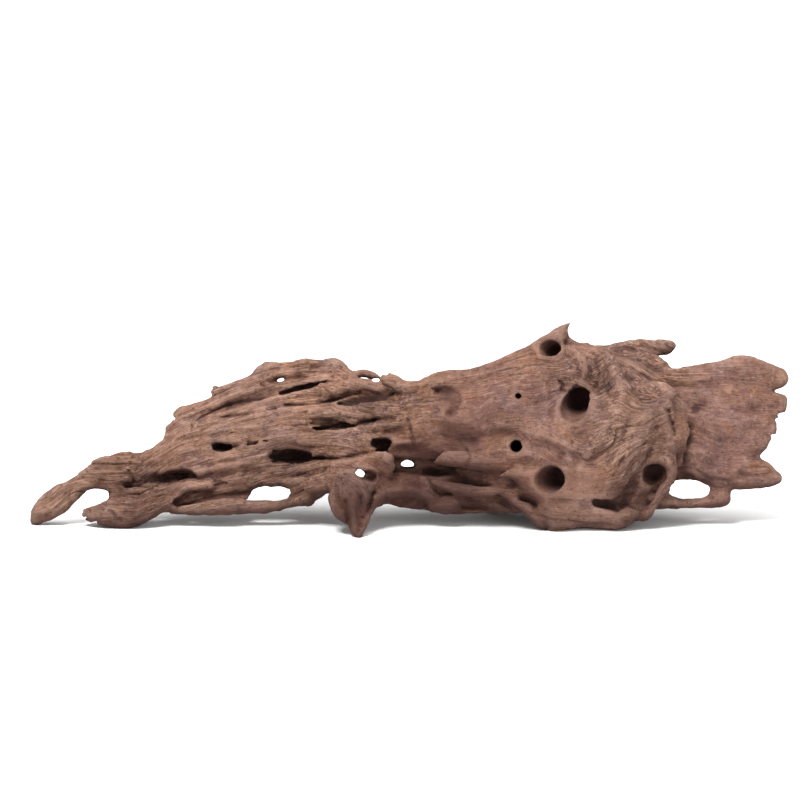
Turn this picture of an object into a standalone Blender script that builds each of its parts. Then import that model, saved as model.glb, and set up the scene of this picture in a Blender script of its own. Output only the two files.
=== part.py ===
"""Honeycomb driftwood: one long weathered root, bored through by burrows and split along its fibres.

The wood grew as one piece, so it is one solid. It is drawn from the front, looking down by VIEW_TILT,
in drawing units: 758 of them make its length. A knot of the drawing is (along, up, back, radius): how far
it lies from the left tip, how high it is seen, how far back it lies, and how thick the wood is there.

The masses are limbs, chains of knots joined by a smooth curve. They grow into each other with a fillet.
Burrows are chains of the same kind that eat the wood away, and relief raises or sinks the surface
along a line. Everything is summed into one field of distances, whose zero surface becomes the mesh.
"""

import math

import bmesh
import bpy
import numpy as np
import openvdb

LENGTH = 0.50
DRAWN_LENGTH = 758.0
UNIT = LENGTH / DRAWN_LENGTH
VIEW_TILT = math.radians(12.0)
MIDDLE_ALONG = 379.6
MIDDLE_BACK = 86.7
SUNK = 0.8

CELL = 3.0
MOST_TRIANGLES = 10600
SHORTEST_EDGE = 0.00004
REACH = 14.0
STEP = 5.0
FILLET = 5.0
BACK_FILLET = 13.0
BURROW_LIP = 3.0
GROOVE_REACH = 7.0

DRAWING_LOW = np.array([-16.0, -14.0, -30.0])
DRAWING_HIGH = np.array([772.0, 228.0, 170.0])

WOOD_COLOUR = (0.2, 0.105, 0.075, 1.0)
WOOD_ROUGHNESS = 0.85

# Each limb is (depth share, lean, knots): the share is its thickness from front to back against its height,
# and the lean is how far back it slopes for each unit of height.

LEFT_END = {
    "finger": (0.8, 0.2, [
        (6.4, 17.3, 55, 6.2), (15, 27.2, 56, 11.8), (25, 33.6, 56, 14.4), (34, 41, 55, 13.4),
        (43, 48, 54, 10.5), (51, 54, 54, 9), (61, 60.5, 56, 11), (74, 67, 60, 14), (92, 70, 64, 14.3)]),
    "palm": (0.8, 0.2, [(86, 50, 56, 10), (88, 62, 59, 12), (102, 64, 62, 9), (114, 69, 64, 7)]),
    "web of the finger": (1.0, 0.2, [(58, 55, 55, 6.5), (68, 54.5, 56, 6.5), (79, 54, 57, 7.5)]),
    "behind the first slot": (0.9, 0.2, [
        (96, 54, 76, 9), (120, 55, 78, 10), (145, 57, 80, 10.5), (170, 58, 80, 11), (190, 60, 80, 10)]),
    "thumb": (1.0, 0.2, [
        (58, 23, 46, 5.5), (70, 23, 46, 11), (86, 24.5, 45, 15.5), (100, 26, 45, 16.5),
        (115, 30, 46, 15.5), (130, 36, 47, 12), (146, 40, 50, 8)]),
    "thumb ridge": (1.0, 0.2, [
        (84, 40, 52, 5), (100, 44, 51, 5.5), (120, 47, 50, 5), (140, 49, 50, 5.5),
        (160, 51, 51, 6.5), (178, 53, 54, 7)]),
    "over the first burrow": (1.2, 0.4, [
        (104, 66, 62, 6), (125, 68, 62, 5.5), (150, 70, 61, 6), (172, 68, 60, 7)]),
    "round the first slot": (0.7, 0.2, [
        (92, 56, 63, 8), (110, 56, 63, 9), (135, 58, 63, 9), (160, 60, 62, 9), (180, 61, 61, 8)]),
}

SLAB = {
    "crest": (1.2, 0.45, [
        (225, 161, 108, 5.5), (236, 167, 109, 8.5), (260, 167, 110, 8.5), (273, 169.5, 110, 9.6),
        (288, 169.5, 110, 9), (303, 170.5, 108, 9), (314, 164, 104, 6.5), (321, 159, 100, 4)]),
    "second step": (1.2, 0.45, [
        (186, 144.5, 100, 7), (200, 146.5, 101, 7.5), (215, 151, 103, 8), (230, 157, 105, 8.5),
        (240, 163, 106, 6)]),
    "bridge": (1.2, 0.45, [
        (238, 150.5, 101, 4), (262, 154.5, 102, 4.2), (285, 158, 101, 5), (305, 160, 98, 6),
        (322, 158, 94, 5)]),
    "third step": (1.3, 0.45, [
        (143, 119.5, 90, 2.5), (150, 123.5, 91, 6), (165, 127, 92, 6.5), (180, 132, 94, 7),
        (195, 139.5, 96, 7), (210, 145.5, 98, 7.5), (225, 149, 99, 6), (238, 151, 100, 5)]),
    "fourth band": (1.3, 0.45, [
        (141, 109, 82, 4.5), (155, 113, 84, 8), (175, 116, 86, 8.5), (195, 119, 88, 8.5),
        (215, 124, 90, 8.5), (235, 131, 92, 8.5), (260, 137, 93, 8.5), (285, 143, 93, 9),
        (305, 148, 91, 9), (325, 152, 88, 8), (345, 151, 82, 6.5), (356, 148, 76, 5)]),
    "fifth band": (1.3, 0.45, [
        (140, 99, 76, 7), (152, 104, 78, 9.5), (168, 107, 79, 10), (185, 108, 80, 10),
        (205, 111, 81, 10), (225, 116, 82, 10), (250, 120, 82, 10), (275, 124, 80, 9.5),
        (300, 126, 77, 9.5), (325, 126, 71, 9), (348, 127, 63, 8), (366, 124, 55, 6),
        (377, 121, 49, 3)]),
    "sixth band": (1.3, 0.45, [
        (124, 80, 70, 8.5), (137, 88, 72, 10.5), (154, 92, 73, 12), (168, 95, 73, 10),
        (180, 98, 73, 8), (200, 100, 74, 8), (225, 101, 73, 9.5), (250, 103, 71, 10),
        (275, 99, 67, 10), (300, 98, 63, 10), (322, 102, 58, 9), (345, 107, 51, 7.5),
        (364, 112, 46, 4.5)]),
    "seventh band": (1.2, 0.45, [
        (94, 74, 66, 10.5), (116, 76, 68, 9), (134, 79, 69, 9), (155, 80, 68, 10),
        (185, 80, 66, 8.5), (205, 82, 65, 8.5), (222, 84, 63, 8), (235, 85, 62, 6)]),
    "over the crack": (1.2, 0.4, [
        (284, 85, 60, 6), (300, 89, 57, 7), (320, 92, 53, 8.5), (340, 97, 49, 10), (362, 99, 46, 10),
        (382, 98, 46, 9)]),
    "eighth band": (1.2, 0.4, [
        (165, 57, 62, 7), (185, 60, 63, 8), (205, 62, 62, 8.5), (225, 64, 61, 8.5), (250, 65, 58, 9),
        (275, 67, 55, 9.5), (300, 70, 50, 9.5), (325, 77, 44, 8.5), (345, 82, 38, 6.5),
        (358, 80, 34, 5)]),
    "droop": (0.7, 0.0, [(338, 77, 40, 8), (350, 76, 36, 10), (357, 70, 34, 8), (356.5, 63, 34, 4.2)]),
    "over the window": (1.2, 0.2, [
        (205, 56, 60, 6), (225, 57.2, 58, 7.4), (245, 58.2, 55, 8), (262, 57, 51, 7.8),
        (278, 53, 46, 8), (292, 52, 40, 9)]),
    "beside the window": (1.0, 0.0, [
        (264, 56, 50, 6), (270, 47, 48, 6.5), (277, 41, 47, 6), (270, 38, 47, 4)]),
    "sill": (1.2, 0.0, [
        (138, 29, 46, 6), (160, 28.8, 45, 6.4), (180, 29.6, 44, 7.4), (195, 31, 44, 8.5),
        (208, 32, 45, 6.5), (217, 32, 46, 3)]),
    "lower sill": (1.2, 0.0, [
        (200, 29.5, 49, 6.4), (225, 30.2, 48, 6.1), (245, 31.2, 47, 5.8), (260, 35.6, 47, 5.8),
        (275, 37.5, 47, 7), (284, 42, 48, 6.2), (292, 47.5, 46, 6.5)]),
    "sunk band": (1.0, 0.3, [
        (140, 42, 60, 8), (165, 45, 62, 8.5), (190, 48, 63, 8.5), (212, 49, 61, 7), (222, 52, 59, 5)]),
    "behind the sill": (1.0, 0.0, [
        (138, 36, 58, 8), (160, 35, 60, 7.5), (185, 36.5, 60, 7.5), (203, 38, 59, 7),
        (214, 43, 58, 6)]),
    "behind the crest slot": (1.0, 0.3, [
        (186, 126, 104, 7), (215, 136, 110, 9), (245, 145, 114, 9.5), (275, 150, 114, 9.5),
        (300, 154, 110, 9), (318, 154, 104, 7)]),
    "lining": (0.36, 0.45, [
        (140, 82, 80, 14), (166, 92, 86, 24), (200, 96, 90, 34), (240, 102, 94, 40),
        (280, 106, 92, 42), (320, 108, 84, 42), (350, 110, 76, 36)]),
    "over the rough bed": (0.6, 0.45, [(262, 146, 92, 5), (285, 150, 91, 6), (310, 152, 88, 6)]),
    "floor of the rough bed": (0.8, 0.45, [
        (296, 140, 96, 7), (325, 141, 90, 9), (350, 143, 80, 9), (360, 146, 76, 7)]),
    "under the flute": (0.9, 0.45, [
        (160, 120, 88, 5), (176, 124, 90, 7), (195, 129, 92, 8), (214, 135, 93, 8.5),
        (238, 143, 96, 8), (252, 147, 98, 5)]),
    "under the step": (0.8, 0.3, [(206, 71, 57, 5), (224, 73, 56, 5), (239, 72, 54, 4)]),
    "beside the crest slot": (0.8, 0.4, [(262, 142, 94, 4), (282, 147, 93, 5), (306, 155, 91, 5)]),
}

UNDERSIDE = {
    "peg": (0.9, 0.3, [
        (329, 4.6, 1, 5.6), (328, 13, 4, 10), (325.6, 23.5, 10, 14), (320, 35, 16, 20),
        (323, 48, 24, 22), (330, 62, 32, 18)]),
    "peg side": (0.8, 0.0, [(333, 20, 14, 6), (338, 31, 22, 8), (346, 41, 32, 9)]),
    "shoulder": (1.0, 0.2, [(286, 52, 42, 9), (300, 56, 36, 12), (316, 61, 32, 14)]),
    "behind the gallery": (0.9, 0.0, [
        (340, 66, 62, 14), (362, 76, 66, 16), (388, 76, 68, 17), (420, 74, 70, 18),
        (455, 72, 68, 18), (485, 74, 66, 18), (510, 76, 62, 18)]),
    "keel": (0.9, 0.2, [
        (340, 50, 40, 16), (360, 49, 48, 17), (380, 46, 52, 18), (400, 43, 54, 17),
        (418, 38, 54, 15.5), (450, 40, 53, 15.5), (475, 38, 50, 15), (500, 40, 46, 16)]),
    "roll": (1.0, 0.0, [
        (345, 36, 34, 5), (358, 41, 33, 6.5), (375, 44, 34, 6.5), (390, 40, 36, 6), (400, 35, 40, 5)]),
    "boss": (1.0, 0.0, [(405, 31, 42, 7), (418, 34, 40, 10.5), (430, 39, 42, 8)]),
    "gallery end": (0.9, 0.0, [
        (434, 66, 50, 9), (450, 63, 46, 12), (470, 60, 42, 14), (490, 56, 40, 15)]),
    "behind the shelf": (0.9, 0.0, [
        (404, 56, 56, 9), (430, 56, 56, 10), (460, 55, 54, 10), (485, 52, 52, 10)]),
    "post": (0.9, 0.0, [(392, 64, 44, 4), (395, 54, 40, 5), (400, 44, 40, 6), (404, 34, 42, 7)]),
    "shelf": (0.9, 0.0, [
        (403, 55, 32, 2.6), (412, 52.5, 31, 4.5), (425, 49, 30, 5.5), (445, 45.5, 29, 6),
        (465, 45, 29, 6), (482, 43, 29, 7)]),
    "strap": (0.9, 0.0, [(476, 37, 27, 3), (485, 34, 26, 4.6), (498, 28, 27, 7), (510, 22, 30, 9)]),
    "rear heel": (0.8, 0.0, [
        (462, 31.5, 112, 8), (470, 42, 106, 13), (480, 58, 98, 19), (490, 80, 92, 24)]),
    "heel ridge": (0.8, 0.0, [
        (478, 40, 112, 6), (500, 46, 112, 8), (524, 56, 106, 12), (545, 74, 98, 18)]),
    "rear toe": (0.9, 0.0, [
        (598, 31.5, 111, 8.5), (594, 44, 106, 13), (588, 60, 96, 18), (578, 80, 90, 24)]),
}

NECK = {
    "nape": (1.0, 0.3, [
        (356.5, 158.5, 62, 7.4), (364, 156, 61, 7.6), (372, 151.5, 60, 7.8), (390, 148, 58, 9.5),
        (410, 153, 58, 13), (440, 154.5, 58, 14), (470, 161, 60, 16), (496, 170.5, 62, 18),
        (519, 185.5, 64, 15)]),
    "throat": (0.75, 0.3, [
        (366, 124, 62, 20), (392, 122, 58, 29), (420, 124, 55, 33), (450, 126, 54, 34),
        (480, 136, 55, 35), (510, 150, 58, 36)]),
    "jaw": (0.8, 0.2, [
        (374, 104, 52, 14), (400, 97, 48, 17), (430, 92, 46, 19), (460, 90, 45, 21),
        (490, 90, 42, 24), (520, 85, 38, 27)]),
    "first tongue": (0.8, 0.0, [
        (405.5, 75.5, 31, 2.8), (415, 78, 27, 7.4), (428, 78, 25, 8.6), (445, 76, 28, 9),
        (468, 74, 31, 10.5), (485, 73, 32, 12)]),
    "second tongue": (0.8, 0.0, [
        (470, 61, 20, 2), (479, 62.5, 20, 4.6), (492, 62, 21, 10), (508, 58, 24, 14)]),
    "back of the neck": (0.75, 0.0, [
        (362, 124, 84, 22), (400, 118, 88, 29), (440, 116, 92, 33), (480, 118, 96, 36),
        (510, 120, 98, 38)]),
    "arch": (1.0, 0.0, [
        (318, 156.5, 103, 4), (330, 163.5, 106, 4.4), (340, 162.4, 104, 4.4), (348, 157, 97, 4.2),
        (357, 150, 86, 6)]),
    "recess under the jaw": (0.8, 0.0, [(366, 86, 46, 8), (385, 85, 46, 9), (406, 83, 43, 8)]),
}

BURL = {
    "chin": (1.0, 0.0, [
        (512, 25, 34, 13.5), (523, 26, 35, 21.5), (545, 31, 37, 21), (568, 29, 35, 19.5),
        (586, 22, 30.5, 14), (600, 27, 32, 11.5)]),
    "cheek": (1.0, 0.2, [
        (503, 57, 36, 20), (525, 57, 33, 26), (555, 58, 33, 28), (585, 56, 35, 26), (604, 58, 38, 20)]),
    "brow": (0.9, 0.3, [
        (515, 112, 52, 36), (545, 112, 48, 42), (578, 112, 46, 42), (608, 106, 44, 36),
        (632, 100, 46, 26)]),
    "crown": (0.9, 0.3, [
        (520, 168, 64, 26), (545, 163, 66, 30), (572, 156, 66, 32), (602, 148, 66, 27),
        (630, 139, 66, 20), (652, 134, 66, 18)]),
    "horn": (0.9, 0.0, [
        (514, 185, 62, 14.5), (525, 196, 66, 10.5), (532, 205, 70, 6.5), (536, 210, 72, 3.5),
        (540, 213.5, 73, 1.2)]),
    "behind the horn": (1.0, 0.0, [(533, 199, 72, 6), (541, 190, 76, 8), (552, 183, 80, 12.6)]),
    "back finger": (0.9, 0.0, [
        (545, 183, 90, 11.5), (575, 181.5, 93, 10.5), (600, 187, 93, 10.5), (620, 188.5, 91, 9.5),
        (635, 189.5, 89, 8), (641, 190.8, 88, 5.5)]),
    "web": (0.8, 0.0, [(590, 170, 86, 14), (614, 169, 82, 14), (630, 163, 78, 12)]),
    "web edge": (0.8, 0.0, [(612, 180, 86, 9), (626, 175, 82, 7.5), (634, 166, 78, 7)]),
    "back of the burl": (0.8, 0.0, [
        (500, 100, 94, 34), (540, 104, 100, 41), (580, 104, 100, 41), (620, 100, 90, 32),
        (648, 96, 80, 20)]),
    "back of the cheek": (1.0, 0.0, [
        (510, 58, 72, 24), (550, 54, 76, 27), (590, 54, 72, 25), (612, 52, 60, 20)]),
    "back of the crown": (1.0, 0.0, [(515, 150, 94, 25), (560, 150, 100, 27), (600, 148, 96, 22)]),
    "fan": (1.0, 0.0, [
        (582, 54, 16, 5), (590, 62, 17, 9), (600, 78, 19, 11), (608, 98, 22, 12), (616, 118, 26, 11)]),
    "fan heel": (1.0, 0.0, [(589, 45, 19, 3.5), (594, 53, 18, 6), (604, 68, 19, 8)]),
    "fan shoulder": (1.0, 0.0, [
        (574, 60, 15, 6), (578, 74, 15, 10), (588, 96, 18, 13), (598, 118, 24, 12)]),
    "peak ridge": (1.0, 0.0, [
        (578.5, 180, 50, 3), (581, 173, 46, 6.5), (586, 160, 41, 9), (594, 142, 34, 10),
        (600, 122, 26, 11)]),
    "socket rim": (1.0, 0.0, [
        (609, 58, 27, 5), (612, 72, 22, 6), (624, 78, 19, 6), (636, 73, 21, 5.5), (640, 62, 25, 5),
        (636, 50, 29, 5)]),
    "nose": (1.0, 0.0, [
        (639, 62, 25, 5), (632, 46, 27, 5), (624, 34, 29, 4.8), (617, 24, 31, 6),
        (612, 19.5, 33, 4.6)]),
    "nose side": (1.0, 0.0, [(611, 50, 32, 6), (609, 37, 33, 7), (611, 27, 35, 6)]),
    "behind the nose": (1.0, 0.0, [(626, 66, 62, 17), (617, 50, 50, 16), (615, 38, 48, 12)]),
    "spur ridge": (1.0, 0.0, [
        (600, 146, 53, 5), (613, 150, 49, 6), (627, 148.5, 43, 7), (636, 145, 39, 7),
        (643, 135, 43, 7), (653, 124, 49, 7), (665, 116, 55, 6), (678, 109, 60, 5)]),
    "behind the crevice": (0.9, 0.0, [(634, 66, 48, 11), (640, 56, 50, 9), (636, 46, 48, 8)]),
    "flank": (1.0, 0.0, [
        (634, 142, 38, 8), (632, 124, 31, 10), (634, 105, 28, 11), (637, 86, 28, 10),
        (640, 70, 30, 8)]),
    "before the crevice": (0.8, 0.3, [
        (606, 140, 46, 12), (622, 134, 42, 13), (640, 122, 44, 12), (650, 106, 46, 10)]),
    "nose wall": (0.8, 0.0, [(646, 92, 44, 10), (648, 76, 44, 8)]),
}

BACK = {
    "long strand": (0.9, 0.0, [
        (160, 98, 100, 5), (200, 106, 106, 7.5), (260, 116, 112, 9), (320, 124, 113, 9),
        (380, 128, 116, 10), (440, 128, 128, 11), (500, 124, 138, 12), (560, 122, 144, 12),
        (610, 118, 130, 11), (650, 114, 98, 9), (700, 112, 78, 6)]),
    "low strand": (0.9, 0.0, [
        (350, 104, 102, 8), (400, 94, 114, 10), (450, 82, 120, 11), (500, 70, 116, 12),
        (550, 62, 110, 12), (600, 64, 98, 11), (645, 76, 78, 8)]),
    "high strand": (0.9, 0.0, [
        (400, 146, 94, 7), (450, 150, 106, 10), (510, 160, 118, 11), (560, 160, 128, 12),
        (600, 150, 122, 11), (640, 138, 100, 9), (690, 138, 82, 6)]),
    "slab strand": (0.9, 0.0, [
        (120, 74, 84, 6), (160, 78, 92, 7), (220, 82, 96, 8), (280, 84, 98, 9), (330, 92, 98, 9)]),
    "upper slab strand": (0.9, 0.0, [
        (190, 130, 108, 6), (240, 136, 118, 7.5), (290, 142, 120, 8), (330, 142, 112, 7)]),
    "crossing strand": (0.9, 0.0, [
        (470, 96, 128, 8), (510, 104, 138, 9), (548, 92, 134, 10), (590, 84, 120, 9),
        (620, 70, 100, 8)]),
}

PLATE = {
    "sheet": (0.15, 0.2, [(650, 108, 64, 60), (674, 112, 66, 59), (686, 114, 66, 55)]),
    "top plank": (0.6, 0.2, [
        (640, 153, 66, 15), (665, 158, 68, 14), (690, 162, 70, 14.5), (712, 167, 72, 15.5),
        (735, 161, 72, 14.5), (747, 158.8, 71, 11.4)]),
    "second plank": (0.55, 0.2, [
        (645, 138, 64, 16), (690, 139, 66, 17), (725, 137, 67, 15.5), (745, 131, 67, 12.5)]),
    "second plank tip": (0.6, 0.2, [(738, 136, 68, 7), (752.5, 138, 68, 4.8)]),
    "third plank": (0.55, 0.2, [
        (645, 114, 60, 18), (690, 114, 62, 18), (720, 113.5, 63, 17), (737, 108.5, 63, 11)]),
    "fourth plank": (0.55, 0.2, [
        (645, 92, 56, 16), (690, 92, 58, 17), (714, 94, 59, 15), (728, 96, 60, 11.5)]),
    "fifth plank": (0.6, 0.2, [
        (645, 74, 52, 13), (675, 71, 54, 14), (703, 65.6, 56, 18), (725, 63.4, 57, 16),
        (738, 60.5, 57, 11), (746.5, 58.4, 57, 6.4)]),
    "window post": (0.7, 0.1, [(688, 66, 55, 12), (690, 52, 54, 11), (690, 42, 53, 9.5)]),
    "window bar": (1.2, 0.0, [
        (618, 38, 46, 10), (640, 35, 50, 7), (658, 34, 52, 5.5), (676, 35, 53, 6.4),
        (691, 39, 53, 9.5)]),
}

# Each burrow is (depth share, knots), eaten from in front of the surface to the depth of its last knots.
BURROWS = {
    "first slot": (4.2, [
        (117, 54, 44, 3.6), (130, 57, 46, 5.6), (143, 60, 48, 5.8), (154, 62, 49, 4.6),
        (164, 61.5, 48, 3)]),
    "second slot": (4.0, [(185, 90, 62, 4.4), (192, 90, 64, 5), (199, 90.5, 64, 4.2)]),
    "third slot": (3.6, [
        (242, 80, 58, 4), (251, 80.5, 58, 5.6), (268, 80.5, 58, 6), (278, 80.5, 56, 5)]),
    "fourth slot": (3.6, [
        (283, 108, 66, 2.4), (298, 109.6, 62, 3.1), (315, 111, 58, 3), (328, 112.5, 52, 1.8)]),
    "fifth slot": (4.0, [(346, 94, 38, 5), (356, 94, 36, 5)]),
    "rough bed": (1.3, [
        (311, 133, 73, 5), (326, 137, 71, 7), (342, 140.5, 66, 7.5), (356, 142, 60, 6)]),
    "crest slot": (3.6, [
        (250, 144, 90, 3), (260, 146.5, 92, 3.3), (274, 150.2, 93, 2.4), (286, 153, 92, 1.7),
        (298, 156.5, 88, 1.1)]),
    "crest eye": (7.0, [(249, 156.8, 100, 2.7), (252, 157.8, 100, 2.7)]),
    "crest eye bed": (1.6, [(240, 154.5, 90, 2.6), (248, 157, 90, 3.8)]),
    "long flute": (1.0, [
        (181, 126.5, 80, 3), (198, 131, 82, 5), (218, 138, 84, 6.5), (236, 145, 88, 6.8),
        (250, 150, 92, 4.4)]),
    "lower window": (9.0, [
        (225.5, 41.3, 48, 4.6), (235, 42, 48, 5.7), (247, 42.4, 48, 6), (255, 42.6, 48, 5)]),
    "sunk bed": (1.7, [
        (148, 35.5, 42, 4.6), (165, 38.5, 44, 4.6), (185, 42, 46, 5), (205, 43, 48, 5),
        (220, 44, 48, 4.6)]),
    "peg eye": (12.0, [(329.6, 64.4, 30, 4.4), (331.6, 63.4, 30, 4.2)]),
    "peg eye bed": (2.2, [(334, 62, 16, 5), (343, 61, 18, 6.6)]),
    "neck eye": (12.0, [(372.8, 72.8, 50, 3), (377, 73.2, 50, 3.9), (382, 72.7, 50, 3.2)]),
    "dark gallery": (4.0, [
        (390, 66.5, 36, 5.2), (404, 65, 38, 6), (417, 64, 34, 5.4), (431, 63, 27, 4)]),
    "overhang": (1.6, [(371, 82, 24, 5), (384, 80, 24, 6), (400, 79, 22, 4)]),
    "hollow under the shelf": (3.0, [(434, 30, 34, 3.4), (444, 30.5, 34, 4.4), (456, 29, 34, 3.4)]),
    "arch eye": (9.0, [(345, 157.6, 90, 1.6), (347.5, 157.2, 90, 1.4)]),
    "left of the chin": (2.6, [
        (468, 40, 28, 3), (471, 36, 28, 4.6), (480, 29, 28, 4.6), (489, 25, 28, 3)]),
    "crown burrow": (1.0, [
        (512, 192, 30, 11), (517, 190.5, 46, 9.5), (523, 187.5, 58, 8), (526, 185, 68, 6)]),
    "brow burrow": (1.0, [
        (536, 124, -8, 14), (541, 129, 12, 14.5), (546, 135, 28, 13.5), (552, 138, 54, 12)]),
    "cheek burrow": (1.0, [
        (509, 55, -14, 13.5), (515, 57, 4, 14.5), (523, 58.5, 18, 12.5), (530, 60, 30, 9.5)]),
    "cheek dish": (0.45, [(538, 57, 0, 11), (552, 55, 2, 13), (565, 52, 4, 8)]),
    "nose burrow": (1.0, [
        (621, 58, -6, 11.5), (622.5, 61, 14, 12.4), (624, 63, 26, 11.4), (625, 65, 36, 9)]),
    "neck burrow": (1.0, [
        (483.5, 90, 0, 8.4), (485, 90.6, 18, 6.6), (487, 91, 40, 6), (488, 91, 62, 5.4)]),
    "small burrow": (1.0, [(488, 140.5, 8, 4.4), (488, 141, 30, 3), (489, 141, 52, 2.6)]),
    "ridge burrow": (1.0, [(561, 155, 16, 2), (563, 160, 34, 2.8), (566, 167, 34, 1.6)]),
    "chin slot": (2.6, [(564, 35, 14, 3.4), (571, 34, 16, 4.4), (580, 32, 16, 4.4), (586, 28, 16, 3)]),
    "nose hollow": (1.3, [
        (609, 62, 12, 4.4), (602, 52, 13, 7), (596, 42, 14, 8), (589, 34, 18, 6), (576, 35, 20, 4)]),
    "under the fan": (1.2, [(577, 46, 16, 3.5), (586, 39, 18, 5)]),
    "plate crevice": (2.4, [(646, 58.5, 46, 1.8), (653, 61, 47, 2.8), (661, 59, 48, 1.8)]),
    "plate window": (9.0, [
        (646, 47.8, 52, 7.2), (652, 47.8, 52, 9), (663, 47.4, 52, 9), (669, 46.8, 52, 7.4)]),
    "back burrow one": (1.0, [
        (528, 112, 170, 17), (532, 112, 144, 14), (538, 112, 122, 12), (548, 112, 98, 9)]),
    "back burrow two": (1.0, [(478, 108, 166, 12), (480, 108, 140, 10), (486, 106, 112, 8)]),
    "back burrow three": (1.0, [(606, 98, 156, 12), (604, 98, 130, 10.5), (600, 98, 104, 8)]),
    "back burrow four": (1.0, [(430, 112, 150, 11), (432, 112, 122, 9.5), (440, 113, 98, 7)]),
    "back burrow five": (1.0, [(384, 114, 140, 8), (384, 113, 114, 7), (386, 112, 92, 5)]),
    "back burrow six": (1.0, [(590, 134, 156, 9), (588, 134, 136, 8), (582, 134, 112, 6.5)]),
    "back burrow seven": (1.0, [(520, 86, 150, 10), (522, 86, 124, 9), (528, 88, 98, 7)]),
    "back burrow eight": (1.0, [(486, 140, 140, 8), (486, 139, 120, 7), (488, 136, 100, 5)]),
    "back slot": (1.8, [(400, 110, 118, 4), (420, 104, 122, 6), (450, 100, 126, 7), (468, 92, 126, 5)]),
    "slab back slot": (2.2, [
        (176, 92, 108, 4.5), (200, 95, 110, 6.5), (232, 99, 112, 6), (254, 102, 112, 4)]),
    "slab back flute": (1.8, [
        (262, 100, 116, 4.5), (290, 104, 118, 7), (322, 108, 114, 7), (350, 114, 110, 4.5)]),
    "slab upper flute": (1.8, [
        (206, 120, 116, 4), (236, 125, 120, 6), (276, 130, 124, 6.5), (316, 134, 120, 5)]),
    "plate back flute": (1.0, [(652, 96, 96, 6), (690, 94, 90, 7), (716, 98, 86, 4)]),
    "top burrow": (1.0, [(572, 198, 112, 9), (570, 184, 104, 8), (566, 166, 94, 7)]),
    "underside burrow": (1.0, [(556, 20, 74, 10), (552, 34, 70, 10), (546, 52, 64, 8)]),
    "underside slot": (1.4, [(420, 16, 70, 5), (440, 22, 72, 8), (462, 24, 74, 6)]),
}

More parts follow.
